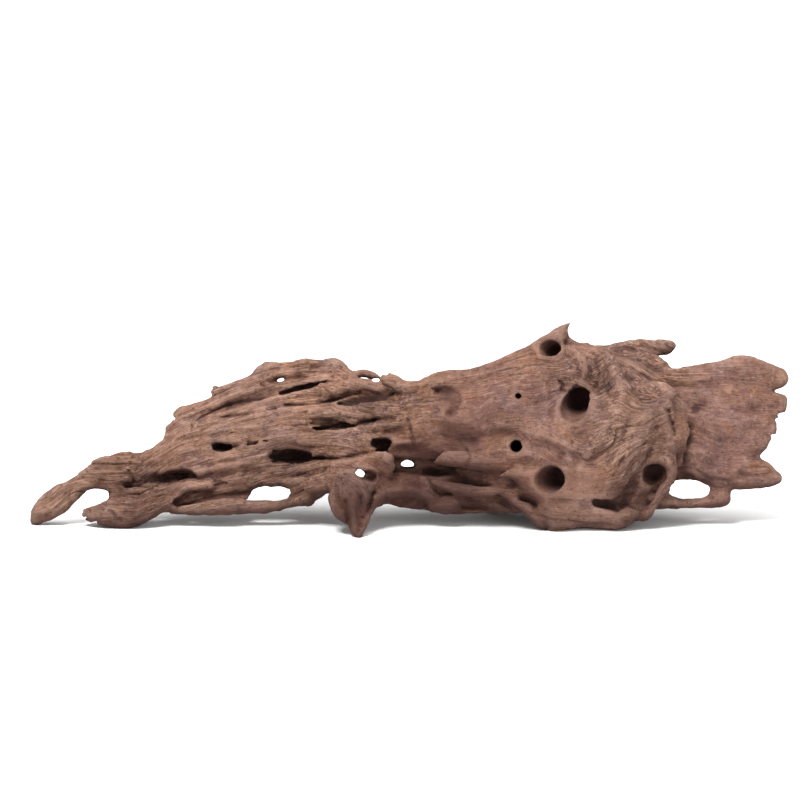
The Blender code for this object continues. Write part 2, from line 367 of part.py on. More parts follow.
# Each relief line is (rise, knots) with knots (along, up, half width). The rise is negative for a furrow.
FRONT_RELIEF = {
    "crescent scar": (-4.5, [
        (408, 145, 4), (417, 144, 6), (424, 138, 6.5), (425, 130, 6), (420, 124, 4)]),
    "shade below the scar": (-1.8, [(412, 112, 6), (416, 104, 9), (427, 99, 9), (442, 97, 8)]),
    "hollow above the tongue": (-2.5, [(374, 88, 6), (388, 84, 8), (402, 80, 7)]),
    "broad hollow of the brow": (-3.5, [(492, 138, 10), (506, 128, 16), (516, 120, 12)]),
    "left of the brow burrow": (2.4, [(512, 106, 7), (524, 118, 6), (530, 130, 5), (538, 141, 5)]),
    "flowing rib": (2.2, [(470, 112, 5), (490, 108, 6), (510, 100, 7), (535, 90, 7), (560, 76, 7)]),
    "second flowing rib": (1.8, [(480, 82, 5), (500, 84, 6), (524, 80, 7), (548, 72, 6)]),
    "furrow between the ribs": (-1.8, [(492, 96, 5), (515, 90, 6), (540, 80, 6)]),
    "first fan rib": (4.0, [(577, 53, 5), (586, 66, 6), (597, 86, 6), (606, 104, 6), (613, 120, 5)]),
    "second fan rib": (3.0, [(590, 58, 5), (602, 76, 6), (612, 96, 6), (620, 116, 5)]),
    "fan furrow": (-3.0, [(570, 70, 4), (580, 84, 5), (592, 102, 5), (602, 122, 5)]),
    "left fan rib": (3.0, [(556, 80, 5), (567, 96, 6), (578, 114, 6), (588, 134, 6), (592, 150, 5)]),
    "valley of the peak": (-4.5, [
        (566, 176, 5), (562, 164, 6), (563, 152, 6), (570, 138, 6), (576, 122, 6)]),
    "first finger scar": (-2.4, [(597, 160, 4), (606, 157, 6), (617, 158, 5)]),
    "second finger scar": (-1.6, [(602, 145, 4), (609, 142.5, 5)]),
    "valley behind the peak": (-2.0, [(588, 184, 5), (594, 172, 6), (600, 160, 6)]),
    "flank crack": (-2.6, [(637, 127, 2.5), (640, 115, 3), (643, 103, 2.5)]),
    "plate hollow": (-3.0, [(652, 100, 8), (650, 82, 8), (652, 66, 6)]),
    "plate furrow": (-1.5, [(668, 128, 5), (695, 126, 8), (722, 124, 6)]),
    "plate rib": (1.4, [(660, 142, 5), (690, 148, 6), (725, 150, 6)]),
    "slab step": (2.4, [(166, 64, 3), (190, 70, 4), (212, 74, 4), (236, 82, 4)]),
    "under the slab step": (-1.8, [(168, 57, 4), (192, 62, 5), (216, 66, 5), (238, 71, 4)]),
    "crack of the slab": (-3.0, [
        (286, 79, 1.8), (300, 78, 1.8), (318, 80, 1.8), (336, 84, 1.8), (352, 87, 1.8)]),
    "slot four crack": (-2.4, [(328, 113.5, 1.8), (344, 117, 1.8), (362, 119.5, 1.6)]),
    "fibre line one": (-1.4, [(255, 131, 2.5), (282, 132, 3), (302, 137, 3), (318, 144, 3)]),
    "fibre line two": (-2.0, [(205, 91, 2), (220, 97, 2.4), (236, 102, 2)]),
    "fibre line three": (-1.0, [(162, 117, 2), (185, 119, 2.4), (208, 124, 2)]),
    "fibre rib one": (2.4, [(215, 108, 4), (245, 112, 5), (275, 114, 4)]),
    "fibre line four": (-1.4, [(170, 109, 2.4), (205, 113, 3), (240, 120, 3), (275, 124, 2.6)]),
    "fibre line five": (-1.2, [(150, 98, 2.4), (175, 101, 3), (205, 105, 2.6)]),
    "fibre line six": (-1.4, [(300, 103, 2.4), (330, 104, 3), (356, 108, 2.6)]),
    "fibre line seven": (-1.4, [(190, 76, 2.4), (215, 80, 3), (232, 86, 2.6)]),
    "fibre line eight": (-2.2, [(250, 170, 3), (272, 171, 3), (298, 171, 3)]),
    "fibre line nine": (-2.2, [(240, 60, 3), (268, 62, 3), (300, 66, 3), (330, 72, 3)]),
    "fibre rib two": (1.8, [(150, 86, 4), (175, 88, 4), (178, 88, 3)]),
    "peg flute": (-5.0, [(316, 36, 2.6), (318, 24, 3), (321, 12, 2.6)]),
    "peg flute two": (-4.0, [(331, 40, 2.4), (331, 24, 2.6), (331, 12, 2.4)]),
    "peg rib": (2.6, [(324, 38, 3), (325, 20, 3.2), (327, 10, 2.6)]),
    "finger hollow": (-3.0, [(16, 36, 6), (28, 38, 7), (36, 44, 5)]),
    "thumb dent": (-2.0, [(84, 32, 4), (100, 34, 6), (118, 37, 5)]),
    "chin rib": (2.6, [(516, 34, 5), (526, 30, 7), (545, 30, 6)]),
    "chin side": (-3.0, [(505, 30, 4), (512, 20, 5), (516, 12, 4)]),
    "neck joint": (-2.6, [(362, 138, 4), (368, 132, 5), (375, 127, 3)]),
    "roll rib": (3.0, [(346, 40, 4), (358, 46, 4), (374, 49, 4), (390, 46, 4), (400, 39, 4)]),
    "under the roll": (-5.0, [(358, 36, 4), (376, 39, 6), (393, 35, 5)]),
    "dish of the cheek": (-6.0, [(536, 55, 9), (550, 53, 12), (563, 50, 9)]),
    "recess of the fifth slot": (-3.0, [(346, 102, 5), (360, 104, 6), (372, 104, 5)]),
    "edge of the end flap": (2.4, [(332, 131, 4), (352, 132, 4), (366, 127, 3.5), (376, 121.5, 3)]),
    "peg flute three": (-3.4, [(343, 44, 2.6), (339, 32, 2.6), (334, 20, 2.2)]),
    "peg hip": (-3.0, [(306, 50, 3), (309, 40, 3), (312, 30, 2.6)]),
}

BACK_RELIEF = {
    "back rib one": (4.0, [(380, 140, 7), (430, 134, 9), (480, 140, 10), (530, 150, 8)]),
    "back furrow one": (-5.0, [(380, 120, 6), (430, 112, 9), (480, 118, 9), (530, 126, 7)]),
    "back rib two": (4.0, [(400, 98, 7), (450, 100, 8), (510, 104, 10), (580, 112, 9), (640, 110, 7)]),
    "back furrow two": (-5.0, [(520, 76, 7), (560, 86, 9), (610, 92, 8)]),
    "back furrow three": (-4.5, [(540, 140, 7), (580, 134, 9), (620, 128, 8)]),
    "slab back rib": (3.0, [(170, 100, 6), (230, 112, 8), (300, 122, 8)]),
    "slab back furrow": (-4.0, [(190, 128, 5), (240, 134, 7), (300, 142, 6)]),
    "plate back rib": (2.4, [(650, 120, 7), (700, 122, 8), (740, 124, 6)]),
    "plate back furrow": (-3.0, [(660, 96, 6), (700, 100, 8), (730, 100, 5)]),
}

# Where the wood between the limbs is worn flat: round patches as (along, up, radius, strength).
FLAT_PATCHES = [
    (185, 107, 44, 1.25), (225, 116, 50, 1.3), (275, 122, 54, 1.3), (320, 120, 48, 1.25),
    (350, 112, 34, 1.0), (250, 64, 40, 1.1), (310, 78, 40, 1.2), (200, 70, 40, 1.2), (150, 82, 24, 1.0),
    (420, 120, 44, 1.2), (480, 128, 50, 1.2), (540, 110, 50, 1.0), (690, 115, 44, 1.5),
    (700, 148, 24, 1.2), (710, 75, 24, 1.2), (670, 150, 20, 1.0), (670, 82, 26, 1.2),
    (300, 146, 26, 1.0), (330, 140, 24, 1.0), (600, 120, 40, 1.1), (632, 120, 34, 1.1),
    (590, 160, 26, 0.9), (560, 90, 34, 1.0), (125, 60, 34, 1.0), (545, 35, 34, 0.8), (572, 78, 20, 1.1),
    (612, 150, 22, 1.1), (612, 34, 14, 0.8), (232, 92, 13, 1.35), (212, 94, 13, 1.25),
    (538, 78, 13, 1.2), (571, 72, 14, 1.3), (621, 40, 12, 1.1)]


def smooth_chain(knots, step):
    """Points along a Catmull-Rom curve through the knots, about a step apart."""
    knots = np.array(knots, float)
    padded = np.vstack([2 * knots[0] - knots[1], knots, 2 * knots[-1] - knots[-2]])
    points = []
    for i in range(1, len(knots)):
        before, start, end, after = padded[i - 1 : i + 3]
        count = max(2, math.ceil(np.linalg.norm(end - start) / step))
        t = np.linspace(0, 1, count, endpoint=False)[:, None]
        curve = (2 * start + (end - before) * t
                 + (2 * before - 5 * start + 4 * end - after) * t**2
                 + (3 * start - before - 3 * end + after) * t**3) / 2
        points.append(curve)
    return np.vstack(points + [knots[-1:]])


def blend_lower(a, b, width):
    """The lower of two fields, with a fillet of about that width where they meet."""
    share = np.clip(0.5 + 0.5 * (b - a) / width, 0, 1)
    return b + (a - b) * share - width * share * (1 - share)


def box_blur(values, reach):
    """The mean of a grid's values over a box that reaches that many cells each way."""
    for axis in range(3):
        padding = [(reach + 1, reach) if i == axis else (0, 0) for i in range(3)]
        total = np.cumsum(np.pad(values, padding, mode="edge"), axis=axis, dtype=np.float64)
        total = np.moveaxis(total, axis, 0)
        mean = (total[2 * reach + 1 :] - total[: -2 * reach - 1]) / (2 * reach + 1)
        values = np.moveaxis(mean, 0, axis).astype(np.float32)
    return values


def patch_strength(along, up, patches):
    """How strongly round patches (along, up, radius, strength) cover places of the drawing."""
    strength = np.zeros(np.broadcast(along, up).shape, np.float32)
    for patch_along, patch_up, radius, share in patches:
        gap = ((along - patch_along) ** 2 + (up - patch_up) ** 2) / radius**2
        strength = np.maximum(strength, share * np.exp(-gap))
    return strength


class Field:
    """Distances to the wood's surface, negative inside, on a grid of cells over the drawing."""

    def __init__(self, cell):
        self.cell = cell
        shape = np.ceil((DRAWING_HIGH - DRAWING_LOW) / cell).astype(int) + 1
        self.axes = [DRAWING_LOW[i] + cell * np.arange(shape[i], dtype=np.float32) for i in range(3)]
        self.values = np.full(shape, REACH, np.float32)

    def window(self, low, high):
        """The slices that cover a box of the drawing, and the open grids of its coordinates."""
        first = np.floor((np.array(low) - DRAWING_LOW) / self.cell).astype(int)
        last = np.ceil((np.array(high) - DRAWING_LOW) / self.cell).astype(int) + 1
        first = np.clip(first, 0, None)
        last = np.clip(last, 0, self.values.shape)
        cut = tuple(slice(a, b) for a, b in zip(first, last))
        return cut, np.ix_(*[axis[part] for axis, part in zip(self.axes, cut)])

    def chain_distance(self, knots, depth_share, lean):
        """The window round a chain of knots, and the distance to the chain's skin there."""
        chain = smooth_chain(knots, STEP)
        radii = chain[:, 3]
        spread = np.stack([radii, radii, radii * max(depth_share, 0.3) + abs(lean) * radii], 1) + REACH
        cut, (along, up, back) = self.window((chain[:, :3] - spread).min(0), (chain[:, :3] + spread).max(0))
        distance = np.full(self.values[cut].shape, REACH, np.float32)
        for start, end in zip(chain[:-1], chain[1:]):
            reach = np.maximum(start[3], end[3]) * np.array([1, 1, depth_share + abs(lean)]) + REACH
            low = np.minimum(start[:3], end[:3]) - reach
            high = np.maximum(start[:3], end[:3]) + reach
            inner = tuple(
                slice(np.searchsorted(axis.ravel(), a), np.searchsorted(axis.ravel(), b))
                for axis, a, b in zip((along, up, back), low, high))
            x, v, d = along[inner[0]], up[:, inner[1]], back[:, :, inner[2]]
            link = end[:3] - start[:3]
            t = ((x - start[0]) * link[0] + (v - start[1]) * link[1] + (d - start[2]) * link[2])
            t = np.clip(t / max(link @ link, 1e-6), 0, 1)
            radius = np.maximum(start[3] + t * (end[3] - start[3]), 0.5)
            dx = x - (start[0] + t * link[0])
            dv = v - (start[1] + t * link[1])
            dd = d - (start[2] + t * link[2]) - lean * dv
            flat = dx * dx + dv * dv
            near = np.sqrt(flat + (dd / depth_share) ** 2) / radius
            slope = np.sqrt(flat + (dd / depth_share**2) ** 2) / radius**2
            skin = near * (near - 1) / np.maximum(slope, 1e-6)
            distance[inner] = np.minimum(distance[inner], np.where(near < 0.05, -radius, skin))
        return cut, distance

    def grow(self, limbs, fillet):
        for depth_share, lean, knots in limbs.values():
            cut, distance = self.chain_distance(knots, depth_share, lean)
            self.values[cut] = blend_lower(self.values[cut], distance, fillet)

    def bore(self, burrows, lip):
        for depth_share, knots in burrows.values():
            cut, distance = self.chain_distance(knots, depth_share, 0.0)
            self.values[cut] = -blend_lower(-self.values[cut], distance, lip)

    def raise_lines(self, lines, side):
        """Raises or sinks the front skin (side 1) or the back skin (side -1) along lines of the drawing."""
        middle = self.middle_depth()
        for rise, knots in lines.values():
            chain = smooth_chain([(x, v, 0.0, width) for x, v, width in knots], STEP)
            spread = 2.2 * chain[:, 3:4]
            low = (chain[:, :2] - spread).min(0)
            high = (chain[:, :2] + spread).max(0)
            cut, (x, v, d) = self.window((*low, DRAWING_LOW[2]), (*high, DRAWING_HIGH[2]))
            height = np.zeros((x.shape[0], v.shape[1]), np.float32)
            for px, pv, _, width in chain:
                gap = ((x[:, :, 0] - px) ** 2 + (v[:, :, 0] - pv) ** 2) / width**2
                height = np.maximum(height, np.exp(-gap))
            facing = np.clip(0.5 + side * (middle[cut[:2]][:, :, None] - d) / 12.0, 0, 1)
            self.values[cut] -= rise * height[:, :, None] * facing

    def fill_grooves(self, reach, patches):
        """Fills the grooves between limbs with wood, within patches of the drawing."""
        cells = max(1, round(reach / self.cell))
        smooth = box_blur(box_blur(self.values, cells), cells)
        away = 12 * (1 - patch_strength(self.axes[0][:, None, None], self.axes[1][None, :, None], patches))
        self.values = blend_lower(self.values, smooth + 0.3 + away, 3.0)

    def middle_depth(self):
        """How far back the middle of the wood lies, at each place of the drawing."""
        wood = np.clip(-self.values, 0, 1)
        total = wood.sum(2)
        depth = (wood * self.axes[2]).sum(2) / np.maximum(total, 1e-3)
        return np.where(total > 0, depth, 60.0)

    def surface(self):
        """The zero surface as (points, triangles, quads), in drawing units."""
        grid = openvdb.FloatGrid(REACH)
        grid.copyFromArray(self.values)
        points, triangles, quads = grid.convertToPolygons(0.0, 0.0)
        return points * self.cell + DRAWING_LOW, triangles, quads


def upright(points):
    """Drawing units to metres, with the wood standing level and its middle over the origin."""
    along, up, back = points.T
    return UNIT * np.stack([
        along - MIDDLE_ALONG,
        up * math.sin(VIEW_TILT) + back * math.cos(VIEW_TILT) - MIDDLE_BACK,
        up * math.cos(VIEW_TILT) - back * math.sin(VIEW_TILT) - SUNK], 1)


def grown_field(cell):
    field = Field(cell)
    for limbs in (LEFT_END, SLAB, UNDERSIDE, NECK, BURL, PLATE):
        field.grow(limbs, FILLET)
    field.grow(BACK, BACK_FILLET)
    field.fill_grooves(GROOVE_REACH, FLAT_PATCHES)
    field.raise_lines(FRONT_RELIEF, 1)
    field.raise_lines(BACK_RELIEF, -1)
    field.bore(BURROWS, BURROW_LIP)
    return field


def wood_material():
    material = bpy.data.materials.new("weathered wood")
    material.use_nodes = True
    shader = material.node_tree.nodes["Principled BSDF"]
    shader.inputs["Base Color"].default_value = WOOD_COLOUR
    shader.inputs["Roughness"].default_value = WOOD_ROUGHNESS
    return material


def largest_piece(mesh):
    """Drops every loose scrap, so that the wood is one body."""
    shape = bmesh.new()
    shape.from_mesh(mesh)
    unseen = set(shape.verts)
    pieces = []
    while unseen:
        front = [unseen.pop()]
        piece = list(front)
        while front:
            vert = front.pop()
            for edge in vert.link_edges:
                other = edge.other_vert(vert)
                if other in unseen:
                    unseen.remove(other)
                    front.append(other)
                    piece.append(other)
        pieces.append(piece)
    pieces.sort(key=len)
    for piece in pieces[:-1]:
        bmesh.ops.delete(shape, geom=piece, context="VERTS")
    bmesh.ops.recalc_face_normals(shape, faces=shape.faces)
    shape.to_mesh(mesh)
    shape.free()


def wood_object(cell):
    points, triangles, quads = grown_field(cell).surface()
    mesh = bpy.data.meshes.new("driftwood")
    mesh.from_pydata(upright(points).tolist(), [], triangles.tolist() + quads.tolist())
    largest_piece(mesh)
    wood = bpy.data.objects.new("driftwood", mesh)
    mesh.materials.append(wood_material())
    return wood


def thin_out(wood, most_triangles):
    """Merges faces where the surface is flattest, until only that many triangles are left."""
    triangles = sum(len(face.vertices) - 2 for face in wood.data.polygons)
    decimate = wood.modifiers.new("fewer faces", "DECIMATE")
    decimate.ratio = most_triangles / triangles
    decimate.use_collapse_triangulate = True
    bpy.context.view_layer.update()
    thinned = wood.evaluated_get(bpy.context.evaluated_depsgraph_get())
    mesh = bpy.data.meshes.new_from_object(thinned)
    wood.modifiers.clear()
    wood.data = mesh


def cut_feet(mesh):
    """Cuts the low points off level with the ground, which leaves a small flat foot at each."""
    shape = bmesh.new()
    shape.from_mesh(mesh)
    everything = shape.verts[:] + shape.edges[:] + shape.faces[:]
    cut = bmesh.ops.bisect_plane(
        shape, geom=everything, dist=1e-6, plane_co=(0, 0, 0), plane_no=(0, 0, 1), clear_inner=True)
    rim = [edge for edge in cut["geom_cut"] if isinstance(edge, bmesh.types.BMEdge)]
    feet = bmesh.ops.holes_fill(shape, edges=rim, sides=0)["faces"]
    bmesh.ops.triangulate(shape, faces=feet)
    bmesh.ops.dissolve_degenerate(shape, edges=shape.edges, dist=SHORTEST_EDGE)
    bmesh.ops.triangulate(shape, faces=[face for face in shape.faces if len(face.verts) > 3])
    bmesh.ops.recalc_face_normals(shape, faces=shape.faces)
    shape.to_mesh(mesh)
    shape.free()


def main():
    for obj in list(bpy.data.objects):
        bpy.data.objects.remove(obj)
    collection = bpy.data.collections.new("honeycomb driftwood")
    bpy.context.scene.collection.children.link(collection)
    wood = wood_object(CELL)
    collection.objects.link(wood)
    thin_out(wood, MOST_TRIANGLES)
    cut_feet(wood.data)


if __name__ == "__main__":
    main()
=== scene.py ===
"""Honeycomb driftwood for its picture: one long weathered root, split along its fibres, bored by burrows.

The wood is drawn from the front, looking down by VIEW_TILT, in drawing units: 758 of them make its
length. A knot of the drawing is (along, up, back, radius): how far it lies from the left tip, how high
it is seen, how far back it lies, and how thick the wood is there. Limbs grow together, relief raises or
sinks their skin, burrows eat into them, and weather opens the grain.
"""

import math

import bmesh
import bpy
import numpy as np
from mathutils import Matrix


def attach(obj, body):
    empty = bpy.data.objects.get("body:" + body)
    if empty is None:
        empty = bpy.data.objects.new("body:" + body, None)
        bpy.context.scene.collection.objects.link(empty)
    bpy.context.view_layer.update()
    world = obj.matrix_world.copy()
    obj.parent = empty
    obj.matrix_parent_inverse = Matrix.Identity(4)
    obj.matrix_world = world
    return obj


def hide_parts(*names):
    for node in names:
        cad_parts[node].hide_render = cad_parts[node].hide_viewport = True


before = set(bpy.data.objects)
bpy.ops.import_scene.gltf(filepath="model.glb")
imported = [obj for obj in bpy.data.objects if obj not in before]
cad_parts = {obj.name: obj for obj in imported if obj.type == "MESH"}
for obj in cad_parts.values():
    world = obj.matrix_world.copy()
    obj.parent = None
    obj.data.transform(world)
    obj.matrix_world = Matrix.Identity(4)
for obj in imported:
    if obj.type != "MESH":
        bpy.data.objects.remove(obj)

import openvdb
from mathutils import Vector

LENGTH = 0.50
DRAWN_LENGTH = 758.0
UNIT = LENGTH / DRAWN_LENGTH
VIEW_TILT = math.radians(12.0)
MIDDLE_ALONG = 379.6
MIDDLE_BACK = 86.7
SUNK = 0.8

# The grid that the wood grows on, in drawing units, and the mesh that is read from it.
CELL = 1.3
REACH = 14.0
DRAWING_LOW = np.array([-16.0, -14.0, -30.0])
DRAWING_HIGH = np.array([772.0, 228.0, 170.0])
EMPTY_DEPTH = 60.0
MOST_TRIANGLES = 196000
SHORTEST_EDGE = 0.00002

# Limbs and burrows: the step between balls of a chain, and the fillets where they meet.
STEP = 5.0
LEAST_RADIUS = 0.5
CORE_SHARE = 0.05
FILLET = 5.0
BACK_FILLET = 13.0
BURROW_LIP = 1.6
FINE_BURROW_LIP = 1.2

# Relief lines: how far they reach to each side, their step, both in widths, and the depth they fade over.
LINE_REACH = 2.2
LINE_STEP = 1.5
LINE_FADE = 12.0

# Grooves between limbs are filled where patches say: their reach, what is left, and a patch's soft edge.
GROOVE_REACH = 7.0
GROOVE_LEFT = 0.3
GROOVE_FILLET = 3.0
PATCH_EDGE = 12.0

# The smooth noises: how many random heights a lattice has along each side before it repeats.
LATTICE = 64

# The grain: what its lines across the root are spread to, and the soft middle of a stone that parts them.
GRAIN_WIDTH = 75
GRAIN_SPREAD = 0.3
GRAIN_LEAST = 30
GRAIN_WANDER = 3.5
GRAIN_UNIT = 100
STONE_MIDDLE = 0.35

# The weather: how near the skin it works, the least and the most that it takes away, and its kinds.
# Each kind ends with how strong it is on smooth wood (share), and how much rough wood adds (more).
WEATHER_REACH = 6
WEATHER_LEAST = -3.5
WEATHER_MOST = 4.5
SPLIT_WIDTH = 0.05
SPLIT_DEPTH = 2.8
SPLIT_SHARE = (0.15, 0.85)

# Overlapping layers of fibres: (depth, width, seed, share, more).
LAYER_LEVEL = 0.3
LAYERS = [(2.4, 15, 21, 0, 1), (1.2, 6.5, 31, 0.12, 0.88)]

# Flaked patches: (depth, size, seed, share, more).
FLAKES = [(1.1, 11, 51, 0.3, 0.7), (0.6, 5, 52, 0.4, 0.6)]

# Worn fibres, which follow the grain, and waves, which don't: (depth, sizes, seed, share, more).
WORN_FIBRES = [(1, (120, 4.2, 8), 4, 0.25, 0.5), (1, (60, 2.2, 4.5), 5, 0.4, 0.2)]
WAVES = [(0.8, (26, 16, 22), 6, 1, 0), (0.9, (9, 8, 9), 8, 0.35, 0.65), (0.5, (5, 4.4, 5), 7, 1, 0)]

# What the surface remembers of its hollows: (radius of the ball of wood that is read, contrast). The colour
# darkens the creases and hollows as painted shade and lightens the ridges as a painted highlight.
HOLLOWS = {"crease": (3.4, 4), "hollow": (11.0, 2.6)}

# The underside, whose colour is darkened as painted shade: the depth and the reach of the broad shape, and
# how soon a slope counts as under the wood.
BROAD_DEPTH = 8
BROAD_REACH = 4.5
UNDER_LEVEL = 0.25
UNDER_SLOPE = 1.4

# The picture: its middle in the drawing, its width in drawing units, and a long lens a few metres away.
PICTURE_MIDDLE = (375.0, 132.0, 60.0)
PICTURE_WIDTH = 810.0
LENS = 0.35
FILM_WIDTH = 0.036
FARTHEST_SEEN = 100.0

# The studio: square lamps as (place in metres, size in metres, power in watts), turned towards the wood.
SOFTBOXES = {
    "key softbox": ((-0.7, -0.9, 2.3), 0.9, 76.0),
    "fill softbox": ((1.6, -2.1, 1.2), 1.6, 12.0),
    "top softbox": ((0.3, 0.5, 2.3), 1.6, 46.0),
}
LAMP_TARGET = (0, 0, 0.05)
SKY_COLOUR = (1.0, 1.0, 1.0)
SKY_STRENGTH = 0.55
FLOOR_SIZE = 24.0
FLOOR_ROUGHNESS = 0.9
FLOOR_GLOSS = 0.1

# Colours of the wood, as linear light.
TAN = (0.24, 0.109, 0.056)
BROWN = (0.145, 0.066, 0.043)
ROSE = (0.185, 0.09, 0.072)
MAUVE = (0.14, 0.078, 0.075)
DARK_BROWN_AND_PAINTED_SHADE = (0.046, 0.0135, 0.0095)
SILVER_AND_PAINTED_HIGHLIGHT = (0.39, 0.24, 0.182)
NEAR_BLACK_AND_PAINTED_SHADE = (0.024, 0.01, 0.0075)
RUST = (0.23, 0.085, 0.03)
FLOOR_COLOUR = (0.93, 0.93, 0.93)

# Noises over the wood: (scale, detail, roughness).
NOISES = {
    "cloud": (28.0, 4.0, 0.6),
    "patches": (42.0, 3.0, 0.6),
    "mottle": (150.0, 4.0, 0.65),
    "speckle": (420.0, 2.0, 0.6),
}

# Fibres, from broad bands to hairs, in GRAIN_UNITs: (length, width, seed, width of the dark seams).
FIBRES = {
    "broad": (0.9, 0.15, 1.0, 0.03),
    "middle": (0.6, 0.042, 2.0, 0.018),
    "fine": (0.36, 0.018, 3.0, 0.03),
    "hair": (0.18, 0.0085, 4.0, 0.03),
}

# Coats of colour, in their order: (colour, strength, signs). A sign is (name, where it starts, where it
# is full), or a name alone where it is its own share.
COATS = [
    (ROSE, 1.0, ["rose"]),
    (MAUVE, 0.6, [("patches", 0.52, 0.64)]),
    (TAN, 0.6, [("patches", 0.46, 0.34)]),
    (RUST, 0.6, [("broad", 0.6, 0.9), ("cloud", 0.48, 0.64)]),
    (SILVER_AND_PAINTED_HIGHLIGHT, 0.32, [("middle", 0.4, 0.95), ("broad", 0.1, 0.7), "fibrous"]),
    (DARK_BROWN_AND_PAINTED_SHADE, 0.4, [("middle", 0.5, 0.0), "fibrous"]),
    (DARK_BROWN_AND_PAINTED_SHADE, 0.6, [("fine", 0.45, 0.0), "fibrous"]),
    (SILVER_AND_PAINTED_HIGHLIGHT, 0.4, [("fine", 0.6, 1.0), "fibrous"]),
    (DARK_BROWN_AND_PAINTED_SHADE, 0.85, [("hair", 0.45, 0.0), "fibrous"]),
    (SILVER_AND_PAINTED_HIGHLIGHT, 0.65, [("hair", 0.6, 1.0), "fibrous"]),
    (DARK_BROWN_AND_PAINTED_SHADE, 0.34, [("cloud", 0.46, 0.3)]),
    (SILVER_AND_PAINTED_HIGHLIGHT, 0.36, [("speckle", 0.59, 0.7)]),
    (DARK_BROWN_AND_PAINTED_SHADE, 0.4, [("mottle", 0.5, 0.3)]),
    (SILVER_AND_PAINTED_HIGHLIGHT, 0.3, [("mottle", 0.52, 0.72)]),
    # Painted highlight: the ridges, where the crease mark is low, are lightened.
    (SILVER_AND_PAINTED_HIGHLIGHT, 0.3, [("crease", 0.42, 0.1)]),
    (SILVER_AND_PAINTED_HIGHLIGHT, 0.24, ["pale"]),
    # Partly painted shade: dark patches that are real dark stains in some places and painted shade in the
    # burrows, slots, recesses and undersides in others.
    (DARK_BROWN_AND_PAINTED_SHADE, 0.88, ["dark_stain_and_painted_shade"]),
    # Painted shade: the undersides of the wood are darkened.
    (DARK_BROWN_AND_PAINTED_SHADE, 1.0, ["shade"]),
    (NEAR_BLACK_AND_PAINTED_SHADE, 0.75, ["seams"]),
    # Painted shade: the creases are darkened.
    (DARK_BROWN_AND_PAINTED_SHADE, 0.5, [("crease", 0.62, 1.0)]),
    # Painted shade: the deep hollows and burrows are darkened towards black.
    (NEAR_BLACK_AND_PAINTED_SHADE, 0.7, [("hollow", 0.7, 1.0)]),
    (NEAR_BLACK_AND_PAINTED_SHADE, 0.5, [("speckle", 0.41, 0.31)]),
]

# How much each sign lifts the surface, and how deep the whole of it is, in metres.
LIFTS = {
    "middle": 0.45, "mottle": 0.45, "fine": 0.36, "hair": 0.24, "broad": 0.4,
    "speckle": 0.15, "seams": -0.5,
}
BUMP_DEPTH = 0.0013
WOOD_GLOSS = 0.28

# Each limb is (depth share, lean, knots): the share is its thickness from front to back against its
# height, and the lean is how far back it slopes for each unit of height.

LEFT_END = {
    "finger": (0.8, 0.2, [
        (6.4, 17.3, 55, 6.2), (15, 27.2, 56, 11.8), (25, 33.6, 56, 14.4), (34, 41, 55, 13.4),
        (43, 48, 54, 10.5), (51, 54, 54, 9), (61, 60.5, 56, 11), (74, 67, 60, 14), (92, 70, 64, 14.3)]),
    "palm": (0.8, 0.2, [(86, 50, 56, 10), (88, 62, 59, 12), (102, 64, 62, 9), (114, 69, 64, 7)]),
    "web of the finger": (1.0, 0.2, [(58, 55, 55, 6.5), (68, 54.5, 56, 6.5), (79, 54, 57, 7.5)]),
    "behind the first slot": (0.9, 0.2, [
        (96, 54, 76, 9), (120, 55, 78, 10), (145, 57, 80, 10.5), (170, 58, 80, 11), (190, 60, 80, 10)]),
    "thumb": (1.0, 0.2, [
        (58, 23, 46, 5.5), (70, 23, 46, 11), (86, 24.5, 45, 15.5), (100, 26, 45, 16.5),
        (115, 30, 46, 15.5), (130, 36, 47, 12), (146, 40, 50, 8)]),
    "thumb ridge": (1.0, 0.2, [
        (84, 40, 52, 5), (100, 44, 51, 5.5), (120, 47, 50, 5), (140, 49, 50, 5.5),
        (160, 51, 51, 6.5), (178, 53, 54, 7)]),
    "over the first burrow": (1.2, 0.4, [
        (104, 66, 62, 6), (125, 68, 62, 5.5), (150, 70, 61, 6), (172, 68, 60, 7)]),
    "round the first slot": (0.7, 0.2, [
        (92, 56, 63, 8), (110, 56, 63, 9), (135, 58, 63, 9), (160, 60, 62, 9), (180, 61, 61, 8)]),
}

